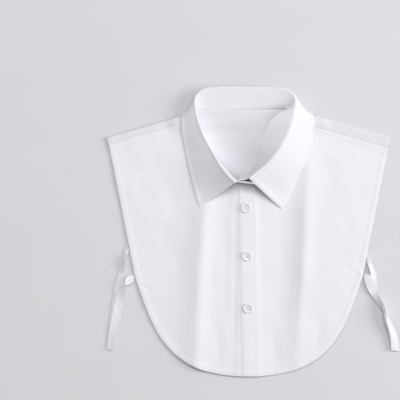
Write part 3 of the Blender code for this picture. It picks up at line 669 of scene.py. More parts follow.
def collar_section(row, side):
    """The fold, foot, knee and edge of one collar section in 3-D, on one side of the neck."""
    at_front = smooth(*FRONT_TILT_OPENS, row.fold_y)
    tilt = side * FRONT_TILT * at_front
    fold_z = row.fold_z + side * COLLAR_LEAN_RISE * leaning(row.fold_y)
    fold = np.array([row.fold_mid + side * row.fold_half, row.fold_y + tilt, fold_z])
    foot_x = row.foot_mid + side * row.foot_half - COLLAR_LEAN * leaning(row.foot_y)
    foot_y = row.foot_y + tilt
    foot_z = sewn_z(foot_x, foot_y, side) if row.foot_z is None else row.foot_z
    edge_x = row.edge_mid + side * row.edge_half
    edge_y = shoulder_y(edge_x) + row.edge_past if row.edge_y is None else row.edge_y
    edge_y -= side * TIP_TILT * at_front
    edge_z = row.edge_z
    if edge_z is None:
        edge_z = front_level(edge_x, edge_y) + (CLOTH + COLLAR_CLOTH) / 2 + LEAF_REST
    edge = np.array([edge_x, edge_y, edge_z])
    if row.knee is None:
        belly = LEAF_BELLY - LEAF_SAG * smooth(*LEAF_SAG_OPENS, row.fold_y)
        knee = (fold + edge) / 2 + (0.0, 0.0, belly)
    else:
        out, *rest = row.knee
        knee = np.array([row.fold_mid + side * out, *rest])
    return np.array([fold, (foot_x, foot_y, foot_z), knee, edge])


def sewn_z(x, y, side):
    """The height of the stand's foot where it is sewn to the fronts."""
    level = over_level if side < 0 else front_level
    return level(x, y) - CLOTH / 2 - STAND_TUCK


def collar_rings():
    """Fold, foot, knee and edge of every ring, from the opening's -X side round the back to +X."""
    half = [collar_section(row, -1) for row in SECTIONS]
    other = [collar_section(row, 1) for row in SECTIONS[-2::-1]]
    sections = np.array(half + other)
    flat = through(sections.reshape(len(sections), -1), RING_STEPS)
    return flat.reshape(len(flat), 4, 3)


def neck_line(side):
    """The neck edge of a front, from the shoulder seam to the front edge, close to the stand."""
    half = [collar_section(row, side)[1][:2] for row in SECTIONS if row.foot_y < NECK_BACK_Y]
    ends = OVER_END[::-1] if side < 0 else UNDER_END
    feet = half[::-1] + [np.array([end.x, end.foot_y]) for end in ends]
    line = moved_out(through(feet, 6), side * (COLLAR_LAYERS / 2 + 0.25))
    if side > 0:
        line[:, 0] += UNDER_LEANING_WALL * leaning(line[:, 1])
    return line


FrontPlan = namedtuple("FrontPlan", "hem seam neck edge")


def front_plan(side):
    """The border lines of one front, in order round it from the foot of its front edge."""
    drop = SEAM_DROP[side] + SEAM_OPEN / 2
    inner_x = seam_middle() + side * NECK_SEAM_HALF
    seam_x = (side * (SHOULDER_TIP_X - SIDE_SLOPE * drop), inner_x)
    seam = spaced([(x, shoulder_line(x) - drop) for x in seam_x], OUTLINE_STEP)
    edge_inset = PLACKET_FOLD if side < 0 else PLACKET_WIDTH
    foot_x = placket_edge_x(HEM_LOW_Y) - edge_inset
    hem = hem_from(hem_and_side(side), foot_x, side)
    hem = np.vstack([hem[hem[:, 1] < seam[0, 1] - 0.6], seam[:1]])
    neck = neck_line(side)
    neck = spaced(np.vstack([seam[-1:], neck[neck[:, 1] < seam[-1, 1] - 1.0]]), OUTLINE_STEP)
    edge = spaced([neck[-1], (foot_x, HEM_LOW_Y)], OUTLINE_STEP)
    return FrontPlan(hem, seam, neck, edge)


# ---------------------------------------------------------------- making meshes


def triangulated(outline, inner):
    """Triangles that fill a closed outline through its own points and the inner ones."""
    ring = [(n, (n + 1) % len(outline)) for n in range(len(outline))]
    points = [tuple(p) for p in np.vstack([outline, inner])]
    made, _, faces, *_ = delaunay_2d_cdt(points, ring, [], 0, 1e-5, False)
    made = np.array([tuple(p) for p in made])
    faces = np.array(faces)
    return made, faces[inside(made[faces].mean(axis=1), outline)]


def rows_inside(outline, line, insets, side):
    """Rows of points at set distances beside one of the outline's lines."""
    rows = []
    for inset in insets:
        row = moved_out(line, side * inset)
        away, _ = beside(row, closed(outline))
        rows.append(row[(away > inset * 0.97) & inside(row, outline)])
    return np.vstack(rows)


def closed(outline):
    """An outline with its first point again at its end."""
    return np.vstack([outline, outline[:1]])


def lattice_inside(outline, spacing, clear):
    """An even lattice of points inside an outline, clear of its border."""
    low, high = outline.min(axis=0), outline.max(axis=0)
    rise = spacing * math.sqrt(3) / 2
    rows = np.arange(low[1] + rise / 2, high[1], rise)
    points = []
    for n, y in enumerate(rows):
        xs = np.arange(low[0] + spacing * (0.25 + 0.5 * (n % 2)), high[0], spacing)
        points.append(np.column_stack([xs, np.full(len(xs), y)]))
    points = np.vstack(points)
    points = points[inside(points, outline)]
    away, _ = beside(points, closed(outline[::2]))
    return points[away > clear]


def normals_of(points, faces):
    """Unit normals at the points, from the faces around them."""
    corners = points[faces]
    across = np.cross(corners[:, 1] - corners[:, 0], corners[:, -1] - corners[:, 0])
    normals = np.zeros_like(points)
    for corner in faces.T:
        np.add.at(normals, corner, across)
    return normals / np.maximum(np.linalg.norm(normals, axis=1), 1e-12)[:, None]


def closed_between(top, bottom, faces):
    """One closed skin from a top and a bottom surface that share their faces."""
    faces = faces.tolist()
    edges = {pair: None for face in faces for pair in zip(face, face[1:] + face[:1])}
    count = len(top)
    skin = [tuple(face) for face in faces]
    skin += [tuple(count + n for n in reversed(face)) for face in faces]
    skin += [(b, a, count + a, count + b) for a, b in edges if (b, a) not in edges]
    return np.vstack([top, bottom]), skin


def shell(points, faces, above, below):
    """A wall from above the surface to below it, along its normals."""
    normals = normals_of(points, faces)
    up, down = (normals * np.reshape(distance, (-1, 1)) for distance in (above, below))
    return closed_between(points + up, points - down, faces)


def grid_skin(surface):
    """A grid surface's points in one list, with its four-sided faces and its normals."""
    rows, columns = surface.shape[:2]
    index = np.arange(rows * columns).reshape(rows, columns)
    quads = [index[:-1, :-1], index[:-1, 1:], index[1:, 1:], index[1:, :-1]]
    faces = np.stack(quads, axis=-1).reshape(-1, 4)
    flat = surface.reshape(-1, 3)
    return flat, faces, normals_of(flat, faces)


def on_both_faces(across, along):
    """Cloth coordinates of a grid surface, for the two faces of its wall."""
    flat = np.stack(np.broadcast_arrays(across, along, 0.0), axis=-1).reshape(-1, 3)
    return np.vstack([flat, flat])


def new_piece(name, points, faces, finish, weave=None):
    """A mesh object from points in millimetres, with its cloth coordinates for the weave."""
    mesh = bpy.data.meshes.new(name)
    mesh.from_pydata(((points + DRAWN_AT) * MM).tolist(), [], faces)
    mesh.validate()
    weave = np.asarray(points if weave is None else weave, float) * MM
    threads = mesh.attributes.new("weave", "FLOAT_VECTOR", "POINT")
    threads.data.foreach_set("vector", weave.astype(np.float32).ravel())
    mesh.materials.append(finish)
    mesh.shade_smooth()
    piece = placed(bpy.data.objects.new(name, mesh), (0.0, 0.0, 0.0))
    mesh.set_sharp_from_angle(angle=math.radians(50))
    return piece


def registered(piece, slot, *nodes):
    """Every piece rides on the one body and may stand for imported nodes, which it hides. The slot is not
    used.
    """
    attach(piece, "root")
    if nodes:
        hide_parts(*nodes)
    return piece


def declared(piece, node):
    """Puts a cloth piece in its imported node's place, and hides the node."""
    registered(piece, "collar_cloth" if node.startswith("collar") else "shirting", node)


# ---------------------------------------------------------------- stitching


Row = namedtuple("Row", "points normals")


def stitch_rings():
    """One stitch along +X with length 1: rings of a rounded thread."""
    turns = np.linspace(0.0, 2 * math.pi, STITCH_SIDES, endpoint=False)
    rings = [[(x, width * math.cos(t), width * math.sin(t)) for t in turns] for x, width in STITCH_SHAPE]
    return np.array(rings).reshape(-1, 3)


def tube_faces(rings, around):
    """The outward faces of a closed tube made of rings of points."""
    faces = []
    for low in range(0, (rings - 1) * around, around):
        for n in range(around):
            after = (n + 1) % around
            faces.append((low + n, low + after, low + around + after, low + around + n))
    last = (rings - 1) * around
    return [*faces, tuple(range(around - 1, -1, -1)), tuple(range(last, last + around))]


def repeated(parts, faces):
    """Points of alike parts in one list, with each part's own copy of the faces."""
    count = len(parts[0])
    every = [tuple(n * count + corner for corner in face) for n in range(len(parts)) for face in faces]
    return np.vstack(parts), every


def stitches(rows, pitch=STITCH_PITCH, length=STITCH_LENGTH):
    """Points and faces of stitches laid end to end along each row."""
    shape = stitch_rings()
    parts = []
    for row in rows:
        lengths = lengths_along(row.points)
        for middle in (np.arange(int(lengths[-1] / pitch)) + 0.5) * pitch:
            ends = (middle - length / 2, middle + length / 2)
            start, end = (at_length(row.points, lengths, place) for place in ends)
            step = end - start
            long = np.linalg.norm(step)
            if long < 1e-6:
                continue
            along = step / long
            up = at_length(row.normals, lengths, middle)
            up = unit(up - along * (up @ along))
            side = np.cross(up, along)
            turned = np.array([step, side * THREAD_RADIUS * THREAD_FLATNESS, up * THREAD_RADIUS])
            parts.append((start + end) / 2 + shape @ turned)
    return repeated(parts, tube_faces(len(STITCH_SHAPE), STITCH_SIDES))


def at_length(values, lengths, wanted):
    """The value at a length along a line of values."""
    return np.array([np.interp(wanted, lengths, axis) for axis in values.T])


def plan_rows(lines, height, lift=0.05):
    """Rows of stitching on a surface given by its height over the plan."""
    lines = [spaced(line, 0.8) for line in lines]
    points = np.vstack(lines)
    reach = 0.4
    rises = [height(points + step) - height(points - step) for step in ((reach, 0.0), (0.0, reach))]
    slopes = [-rise / (2 * reach) for rise in rises]
    normals = unit(np.column_stack([*slopes, np.ones(len(points))]))
    surface = np.column_stack([points, height(points)]) + normals * lift
    ends = np.cumsum([len(line) for line in lines])[:-1]
    return [Row(*pair) for pair in zip(np.split(surface, ends), np.split(normals, ends))]


# ---------------------------------------------------------------- panels


def front_top(points, side, plan):
    """The face of one front, with its hem, seam, creases and unevenness."""
    x, y = points.T
    level = (over_level if side < 0 else front_level)(x, y) + CLOTH / 2
    level += hem_relief(*beside(points, plan.hem))
    level += seam_relief(*beside(points, plan.seam))
    level += limpness(x, y) - creased(x, y)
    if side > 0:
        band = placket_edge_x(y) + BAND_EDGE
        level += BAND_LIFT * smooth(band + 0.6, band - 0.6, x)
        level -= groove(x, band - BAND_STITCH_INSET)
    return level


def front_panel(name, side, finish):
    """One front as a thin shell, thicker at its hem, with rounded edges."""
    plan = front_plan(side)
    outline = np.vstack([plan.hem[:-1], plan.seam[:-1], plan.neck[:-1], plan.edge[:-1]])
    hem_rows = rows_inside(outline, plan.hem, HEM_ROWS, side)
    seam_rows = rows_inside(outline, plan.seam, SEAM_ROWS, side)
    from_hem, _ = beside(seam_rows, plan.hem)
    seam_rows = seam_rows[from_hem > HEM_ROWS[-1] + 0.4]
    inner = lattice_inside(outline, LATTICE, 0.9)
    from_hem, _ = beside(inner, plan.hem)
    from_seam, _ = beside(inner, plan.seam)
    inner = inner[(from_hem > HEM_ROWS[-1] + 0.9) & (from_seam > SEAM_ROWS[-1] + 0.8)]
    points, faces = triangulated(outline, np.vstack([hem_rows, seam_rows, inner]))
    surface = np.column_stack([points, front_top(points, side, plan)])
    from_hem, _ = beside(points, plan.hem)
    thick = LAYER + (HEM_LAYERS - LAYER) * smooth(HEM_WIDTH + 0.5, HEM_WIDTH - 0.5, from_hem)
    half = HEM_LAYERS / 2
    sunk = half * (1.0 - fullness(from_hem, half)) * HEM_EDGE_SINK
    return new_piece(name + "_cloth", *shell(surface, faces, -sunk, thick - sunk), finish), plan


def back_plan():
    """The back's hem and sides, from the -X shoulder tip round to the +X one."""
    inset = 1.0 - BACK_SIDE_INSET / SIDE_FOOT[0]
    half = hem_and_side(1)
    rise = BACK_HEM_RISE * smooth(SIDE_FOOT[1] + 60.0, SIDE_FOOT[1], half[:, 1])
    narrow = inset + (1.0 - inset) * smooth(SIDE_FOOT[1], shoulder_line(SHOULDER_TIP_X), half[:, 1])
    half = np.column_stack([half[:, 0] * narrow, half[:, 1] + rise])
    return np.vstack([half[:0:-1] * (-1.0, 1.0), half])


def wrap_rows(x):
    """The back's cloth round a shoulder fold at each x: up from the back and on to the front seam.

    Returns rows of points with the wall's middle, the last of them at the seam.
    """
    side = np.sign(x[0])
    drop = SEAM_DROP[int(side)] - SEAM_OPEN / 2
    lean = side * SIDE_SLOPE * smooth(80.0, SHOULDER_TIP_X, np.abs(x)) * drop
    inward = NECK_MIDDLE - seam_middle() + side * (NECK_SHOULDER_HALF - NECK_SEAM_HALF)
    lean += inward * smooth(NECK_SHOULDER_HALF + 16.0, NECK_SHOULDER_HALF, np.abs(x - NECK_MIDDLE))
    near = shoulder_y(x) - 2.0
    low = back_level(x, np.minimum(near, 142.0))
    radius = (front_level(x, near) - low) / 2
    middle = shoulder_y(x) - radius - CLOTH / 2
    rows = []
    for angle in np.linspace(-math.pi / 2, math.pi / 2, WRAP_STEPS + 1):
        height = low + radius + radius * math.sin(angle)
        rows.append(np.column_stack([x, middle + radius * math.cos(angle), height]))
    seam_x = x - lean
    seam_y = shoulder_line(seam_x) - drop
    shares = smooth(-0.4, 1.0, np.arange(STRIP_STEPS + 1) / STRIP_STEPS)
    for share in (shares[1:] - shares[0]) / (1.0 - shares[0]):
        strip_x = x + (seam_x - x) * share
        strip_y = middle + (seam_y - middle) * share
        rows.append(np.column_stack([strip_x, strip_y, front_level(strip_x, strip_y)]))
    return rows


def strip_relief(points, side, hem):
    """The shoulder strip's own relief: the seam's roll and the side hem that runs over it."""
    away, along = beside(points, front_plan(side).seam)
    lift = -SEAM_ROLL * np.exp(-away / SEAM_ROLL_REACH)
    lift += drawn(STRIP_RIPPLES, along, away, 3.0)
    return lift + hem_relief(*beside(points, hem)) + limpness(*points.T)


def back_panel(finish):
    """The back on the table, with a strip on each shoulder that wraps round to the front."""
    border = back_plan()
    left = np.linspace(-SHOULDER_TIP_X, NECK_MIDDLE - NECK_SHOULDER_HALF, 72)
    right = np.linspace(NECK_MIDDLE + NECK_SHOULDER_HALF, SHOULDER_TIP_X, 76)
    neck_x = np.linspace(right[0], left[-1], 70)[1:-1]
    neck = np.column_stack([neck_x, np.full(len(neck_x), NECK_BACK_Y + NECK_BACK_TUCK)])
    wraps = {side: [row[::-1] for row in wrap_rows(x)] for side, x in ((1, right), (-1, left))}
    outline = np.vstack([border[1:-1], wraps[1][0][:, :2], neck, wraps[-1][0][:, :2]])
    points, faces = triangulated(outline, lattice_inside(outline, BACK_LATTICE, 1.6))
    z = back_level(*points.T) + 0.5 * hem_relief(*beside(points, border))
    first_right = len(border) - 2
    starts = {1: first_right, -1: first_right + len(right) + len(neck)}
    sheets = [np.column_stack([points, z])]
    skin = faces.tolist()
    count = len(points)
    for side, rows in wraps.items():
        hem = hem_and_side(side)
        below = np.arange(starts[side], starts[side] + len(rows[0]))
        sheets[0][below, 2] = rows[0][:, 2]
        for n, row in enumerate(rows[1:], start=1):
            if n > WRAP_STEPS // 2:
                row[:, 2] += strip_relief(row[:, :2], side, hem) * smooth(0.5, 1.0, n / WRAP_STEPS)
            here = np.arange(count, count + len(row))
            for a, b, c, d in zip(below, below[1:], here[1:], here):
                skin += [(b, a, d), (b, d, c)]
            sheets.append(row)
            count += len(row)
            below = here
    walls = shell(np.vstack(sheets), np.array(skin), LAYER - CLOTH / 2, CLOTH / 2)
    return new_piece("back_panel_cloth", *walls, finish)


# ---------------------------------------------------------------- placket


def placket_top(points, plan):
    """The face of the placket, which has a stitched line by each edge and puckers at its buttons."""
    x, y = points.T
    away = placket_edge_x(y) - x
    level = over_level(x, y) + CLOTH / 2 + limpness(x, y) - creased(x, y)
    sink_starts = PLACKET_WIDTH - PLACKET_SINK_REACH
    level += PLACKET_LAYERS - PLACKET_EDGE_SINK * smooth(sink_starts, PLACKET_WIDTH, away)
    for stitches_at, ripples_at in zip(PLACKET_STITCHES, PLACKET_RIPPLES_AT):
        level += drawn(PLACKET_RIPPLES, y, away, ripples_at) - groove(away, stitches_at)
    return level + hem_relief(*beside(points, plan.hem)) - button_puckers(x, y)


def button_puckers(x, y):
    """Short upright puckers above and below each button, and the dip that it sits in."""
    sunk = np.zeros_like(x)
    for n, row_y in enumerate(BUTTON_ROWS.values()):
        middle = placket_edge_x(row_y) - BUTTON_LINE_INSET
        away = np.hypot(x - middle, y - row_y)
        sunk += BUTTON_DIP * smooth(*BUTTON_DIP_REACH, away)
        for pucker in PUCKERS:
            lean = PUCKER_LEAN * (n - 1) * (y - row_y - pucker.up)
            across = hump(x - middle - lean, pucker.across, pucker.half_width)
            sunk += pucker.depth * across * hump(y - row_y, pucker.up, pucker.length / 2)
    return sunk


def placket(finish, plan):
    """The buttonhole band, folded at both its edges."""
    edges = np.array([0.0, 0.07, 0.2, 0.4, 0.7, 1.2])
    away = np.concatenate([edges, np.linspace(1.8, PLACKET_WIDTH - 1.8, 40), PLACKET_WIDTH - edges[::-1]])
    away, y = np.meshgrid(away[::-1], np.linspace(HEM_LOW_Y + 0.4, PLACKET_TOP_Y, 250))
    x = placket_edge_x(y) - away
    points = np.column_stack([x.ravel(), y.ravel()])
    surface, faces, _ = grid_skin(np.dstack([x, y, placket_top(points, plan).reshape(x.shape)]))
    half = PLACKET_LAYERS / 2
    sunk = half * (1.0 - fullness(np.minimum(away, PLACKET_WIDTH - away), half)) * PLACKET_FOLD_SINK
    return new_piece("placket_cloth", *shell(surface, faces, -sunk, PLACKET_LAYERS - sunk), finish)


# ---------------------------------------------------------------- collar


def leaf_surface():
    """The fall's middle surface: a row of points for every ring, from the stand's top to the edge."""
    shares = np.concatenate([np.linspace(0.0, 0.84, 24), np.linspace(0.865, 1.0, 14)])[1:, None]
    angles = np.radians(np.linspace(0.0, 165.0, ROLL_STEPS + 1))[:, None]
    rows = []
    for fold, foot, knee, edge in collar_rings():
        up = unit(fold - foot)
        out = knee - fold
        out = unit(out - up * (out @ up))
        centre = fold + (out - up) * ROLL_RADIUS
        roll = centre + ROLL_RADIUS * (up * np.sin(angles) - out * np.cos(angles))
        upper = roll[-1] + (knee - roll[-1]) * shares
        lower = knee + (edge - knee) * shares
        rows.append(np.vstack([stand_top(fold, up), roll, upper + (lower - upper) * shares]))
    return np.array(rows)


def stand_top(fold, up):
    """Where the stand ends and the fall begins, a little below the fold."""
    return fold - up * (STAND_SHORT_OF_FOLD - SEAM_GAP)


def border_distances(surface):
    """For a grid of points, the distances from its last column and from its first and last rows."""
    steps = np.linalg.norm(np.diff(surface, axis=1), axis=2)
    to_edge = np.zeros(surface.shape[:2])
    to_edge[:, :-1] = np.cumsum(steps[:, ::-1], axis=1)[:, ::-1]
    spans = np.linalg.norm(np.diff(surface, axis=0), axis=2)
    from_first = np.zeros(surface.shape[:2])
    from_first[1:] = np.cumsum(spans, axis=0)
    return to_edge, from_first, from_first[-1] - from_first


def collar_fall(finish):
    """The pointed leaf, rolled over the stand, with a row of stitching inside its edges."""
    surface = leaf_surface()
    to_edge, from_first, from_last = distances = border_distances(surface)
    from_border = np.minimum(to_edge, np.minimum(from_first, from_last))
    from_border[:, : ROLL_STEPS // 2] = 20.0
    flat, faces, normals = grid_skin(surface)
    relief = drawn(FALL_RIPPLES, from_first, to_edge, LEAF_STITCH)
    relief -= groove(from_border, LEAF_STITCH, 0.75)
    relief -= LEAF_EDGE_DIP * hump(from_border, LEAF_STITCH + 0.4, 2.8)
    relief += LEAF_WAVE * ripple(from_first + 0.4 * to_edge, 47.0, 51) * smooth(0.0, 12.0, to_edge)
    flat = flat + normals * relief.reshape(-1, 1)
    half = COLLAR_LAYERS / 2
    wall = rounded_wall(half, from_border, FALL_RIM)
    weave = on_both_faces(from_first, to_edge)
    piece = new_piece("collar_fall_cloth", *shell(flat, faces, wall, wall), finish, weave)
    face = (flat + normals * half).reshape(surface.shape)
    return piece, fall_stitch_rows(face, normals.reshape(surface.shape), distances)


def fall_stitch_rows(face, normals, distances):
    """Stitching a set distance inside the leaf's front edges and its outer edge."""
    to_edge, from_first, from_last = distances
    columns = np.arange(face.shape[1])
    rows = [[]]
    for points, ups, away, first, last in zip(face, normals, to_edge, from_first, from_last):
        place = np.interp(LEAF_STITCH, away[::-1], columns[::-1])
        if min(at_place(first, place), at_place(last, place)) >= LEAF_STITCH:
            rows[0].append((at_place(points, place), at_place(ups, place)))
    for away, order in ((from_first, 1), (from_last, -1)):
        rows.append([])
        for column in columns[ROLL_STEPS // 2 :]:
            points, ups, clear = (values[::order, column] for values in (face, normals, to_edge))
            place = np.interp(LEAF_STITCH, away[::order, column][:60], np.arange(60))
            if at_place(clear, place) >= LEAF_STITCH:
                rows[-1].append((at_place(points, place), at_place(ups, place)))
    return [Row(*map(np.array, zip(*row))) for row in rows]


def stand_end(ends, side):
    """The top and the foot of the stand, in one row, at each station of one of its lapped ends."""
    rows = []
    for end in ends:
        foot_z = sewn_z(end.x, end.foot_y, side)
        rows.append((end.x, end.top_y, end.top_z, end.x, end.foot_y, foot_z))
    return np.array(rows)


def stand_surface():
    """The stand's middle surface, from its over end round the neck to its under end."""
    round_neck = []
    for fold, foot, _, _ in collar_rings():
        round_neck.append([*stand_top(fold, unit(fold - foot)), *foot])
    over = through([*stand_end(OVER_END, -1), round_neck[0]], RING_STEPS)[:-1]
    under = through([round_neck[-1], *stand_end(UNDER_END, 1)], RING_STEPS)[1:]
    lines = np.vstack([over, round_neck, under])[:, None]
    shares = np.linspace(0.0, 1.0, STAND_STEPS + 1)[None, :, None]
    return lines[..., 3:] + (lines[..., :3] - lines[..., 3:]) * shares


def collar_stand(finish):
    """The band round the neck, with a row of stitching above the neck seam at the back."""
    surface = stand_surface()
    rows, columns = surface.shape[:2]
    to_top, from_first, from_last = border_distances(surface)
    from_foot = to_top[:, :1] - to_top
    at_back = smooth(STAND_STITCHED_FROM_Y - 3.0, STAND_STITCHED_FROM_Y, surface[:, :1, 1])
    pull = drawn(STAND_RIPPLES, from_first, from_foot, STAND_STITCH) * at_back
    half = COLLAR_LAYERS / 2
    from_border = np.minimum(np.minimum(from_first, from_last), from_foot)
    wall = rounded_wall(half, from_border, STAND_RIM) - groove(from_foot, STAND_STITCH, 0.8) * at_back
    flat, faces, normals = grid_skin(surface)
    flat = flat + normals * pull.reshape(-1, 1)
    weave = on_both_faces(from_first, from_foot)
    piece = new_piece("collar_stand_cloth", *shell(flat, faces, wall, wall), finish, weave)
    column = round(STAND_STITCH / (from_foot[rows // 2, -1] / (columns - 1)))
    stitched = surface[:, 0, 1] > STAND_STITCHED_FROM_Y
    line, ups = (values.reshape(surface.shape)[stitched, column] for values in (flat, normals))
    lift = half - STITCH_SINK * 0.6
    return piece, [Row(line + side * ups * lift, side * ups) for side in (1.0, -1.0)]


# ---------------------------------------------------------------- ties


def lying_with(stations):
    """Stations of a second strip that lies against the underside of the one given."""
    places = np.array([station[:3] for station in stations])
    padded = np.vstack([places[:1], places, places[-1:]])
    away = unit(np.cross(padded[2:] - padded[:-2], [station.across for station in stations]))
    lower = places - away * TIE_STACK
    return [TieStation(*place, station.across) for place, station in zip(lower, stations)]


def tie(name, stations, finish):
    """A narrow strip, folded at its edges and gathered where it is sewn on."""
    middles = through([station[:3] for station in stations], TIE_STEPS)
    halves = through([np.array(station.across) * TIE_WIDTH / 2 for station in stations], TIE_STEPS)
    edges = np.array([0.94, 0.985, 1.0])
    across = np.concatenate([-edges[::-1], np.linspace(-0.86, 0.86, TIE_COLUMNS), edges])
    surface = middles[:, None] + halves[:, None] * across[None, :, None]
    along = lengths_along(middles)[:, None]
    width = np.linalg.norm(halves, axis=1)[:, None] * 2
    gather = np.clip(1.0 - width / TIE_WIDTH, 0.0, 1.0)
    relief = TIE_PLEAT * gather * np.cos(across * 9.0 + 0.6) * smooth(30.0, 4.0, along)
    relief += TIE_CUP * (1.0 - across**2) * smooth(10.0, 25.0, along)
    relief += TIE_BUCKLE * ripple(along, 23.0, len(name)) * (across**2 - 0.4)
    flat, faces, normals = grid_skin(surface)
    flat = flat + normals * relief.reshape(-1, 1)
    from_edge = (1.0 - np.abs(across)) * width / 2
    from_end = np.minimum(along, along[-1] - along)
    wall = rounded_wall(TIE_LAYERS / 2, np.minimum(from_edge, from_end), TIE_RIM)
    wall -= 0.12 * hump(from_edge, 1.6, 0.5)
    weave = on_both_faces(across * width / 2, along)
    return new_piece(name + "_cloth", *shell(flat, faces, wall, wall), finish, weave)


# ---------------------------------------------------------------- buttons


def button_disc(radius, thick):
    """Top and bottom surfaces of a four-hole button about its own axis, with their faces."""
    scale = radius / BUTTON_RADIUS
    circle = np.linspace(0.0, 2 * math.pi, 72, endpoint=False)
    rim = np.column_stack([np.cos(circle), np.sin(circle)])
    inner = [rim * r for r in np.linspace(0.3, 0.98, 22)[1:] * radius]
    centres = np.array([(-1, -1), (-1, 1), (1, -1), (1, 1)]) * BUTTON_HOLE_PITCH / 2 * scale
    hole_radius = BUTTON_HOLE_RADIUS * scale
    holes = [centre + rim[::6] * hole_radius for centre in centres]

    def from_hole(points):
        """How far points in plan are from the middle of the nearest hole."""
        return np.min(np.linalg.norm(points[:, None] - centres[None], axis=2), axis=1)

    fine = np.vstack([*inner, lattice_disc(radius * 0.32, 0.35)])
    fine = fine[from_hole(fine) > hole_radius + 0.12]
    points, faces = triangulated(rim * radius, np.vstack([*holes, fine]))
    faces = faces[from_hole(points[faces].mean(axis=1)) > hole_radius * 0.95]
    out, *levels = np.array(BUTTON_PROFILE).T * [[radius], [thick], [thick]]
    r = np.linalg.norm(points, axis=1)
    return *(np.column_stack([points, np.interp(r, out, level)]) for level in levels), faces


def lattice_disc(radius, spacing):
    """A square lattice of points inside a circle."""
    steps = np.arange(-radius, radius + spacing, spacing)
    x, y = np.meshgrid(steps, steps)
    points = np.column_stack([x.ravel(), y.ravel()])
    return points[np.linalg.norm(points, axis=1) < radius]


def thread_bars(radius, thick):
    """Lines of two upright bars of sewing thread between the holes, three strands in each."""
    pitch = BUTTON_HOLE_PITCH / 2 * radius / BUTTON_RADIUS
    arc = np.linspace(-1.0, 1.0, BAR_STEPS)
    bow = thick * 0.5 + 0.75 * (1.0 - arc**4)
    places = [bar + strand for bar in (-pitch, pitch) for strand in (-0.28, 0.0, 0.28)]
    return [np.column_stack([np.full(BAR_STEPS, x), arc * pitch * 1.15, bow]) for x in places]


def turned_up(points, tilt):
    """Points turned about X by an angle."""
    c, s = math.cos(tilt), math.sin(tilt)
    return points @ np.array([[1, 0, 0], [0, c, s], [0, -s, c]])


def button(name, radius, thick, spot, tilt, plastic, thread):
    """A button at its spot, and the thread that holds it."""
    *surfaces, faces = button_disc(radius, thick)
    walls = closed_between(*(turned_up(surface, tilt) + spot for surface in surfaces), faces)
    registered(new_piece(name + "_disc", *walls, plastic), "button", name)
    strands = [strand_tube(turned_up(line, tilt) + spot) for line in thread_bars(radius, thick)]
    bars = repeated(strands, tube_faces(BAR_STEPS, STRAND_SIDES))
    registered(new_piece(name + "_thread", *bars, thread), "shirting")


def strand_tube(line):
    """Points of a round thread along a line."""
    ahead = unit(np.gradient(line, axis=0))
    side = unit(np.cross(ahead, (1.0, 0.02, 0.01)))[:, None]
    up = np.cross(side, ahead[:, None])
    turns = np.linspace(0.0, 2 * math.pi, STRAND_SIDES, endpoint=False)[:, None]
    return (line[:, None] + STRAND_RADIUS * (np.sin(turns) * side + np.cos(turns) * up)).reshape(-1, 3)


def buttonhole_rows(plan):
    """The close stitches round each buttonhole, on both its long sides and across its ends."""
    half = BUTTONHOLE_LENGTH / 2
    lines = []
    for y in BUTTON_ROWS.values():
        x = placket_edge_x(y) - BUTTON_LINE_INSET
        for step in np.arange(-half, half, 0.42):
            lines += [[(x + side * 0.15, y + step), (x + side * 1.35, y + step)] for side in (-1, 1)]
        for step in (-half - 0.65, -half - 0.4, -half - 0.15, half + 0.05, half + 0.3, half + 0.55):
            lines.append([(x - 1.4, y + step), (x + 1.4, y + step)])
    return plan_rows(lines, lambda points: placket_top(points, plan), 0.08)


# ---------------------------------------------------------------- materials


def new_material(name):
    """A new node material, with its nodes, its links and its shader."""
    made = bpy.data.materials.new(name)
    made.use_nodes = True
    tree = made.node_tree
    return made, tree.nodes, tree.links, tree.nodes["Principled BSDF"]


def set_inputs(node, **values):
    """Sets a node's inputs by name, with an underscore for each space."""
    for name, value in values.items():
        node.inputs[name.replace("_", " ")].default_value = value


def figure(nodes, links, kind, place, **values):
    """A texture laid by the coordinates of a place socket."""
    texture = nodes.new(kind)
    set_inputs(texture, **values)
    links.new(place, texture.inputs["Vector"])
    return texture


def tinted(nodes, links, shader, mask, low, high):
    """Colours a shader between two ramp stops, each a position with a colour."""
    tint = nodes.new("ShaderNodeValToRGB")
    for stop, (position, color) in zip(tint.color_ramp.elements, (low, high)):
        stop.position = position
        stop.color = (*color, 1.0)
    links.new(mask, tint.inputs["Fac"])
    links.new(tint.outputs["Color"], shader.inputs["Base Color"])


def bumped(nodes, links, shader, height, **values):
    """Gives a shader relief from a height socket."""
    bump = nodes.new("ShaderNodeBump")
    set_inputs(bump, **values)
    links.new(height, bump.inputs["Height"])
    links.new(bump.outputs["Normal"], shader.inputs["Normal"])


def maths(tree, operation, *values):
    """A maths node fed by sockets or numbers."""
    node = tree.nodes.new("ShaderNodeMath")
    node.operation = operation
    for socket, value in zip(node.inputs, values):
        if isinstance(value, float):
            socket.default_value = value
        else:
            tree.links.new(value, socket)
    return node.outputs[0]


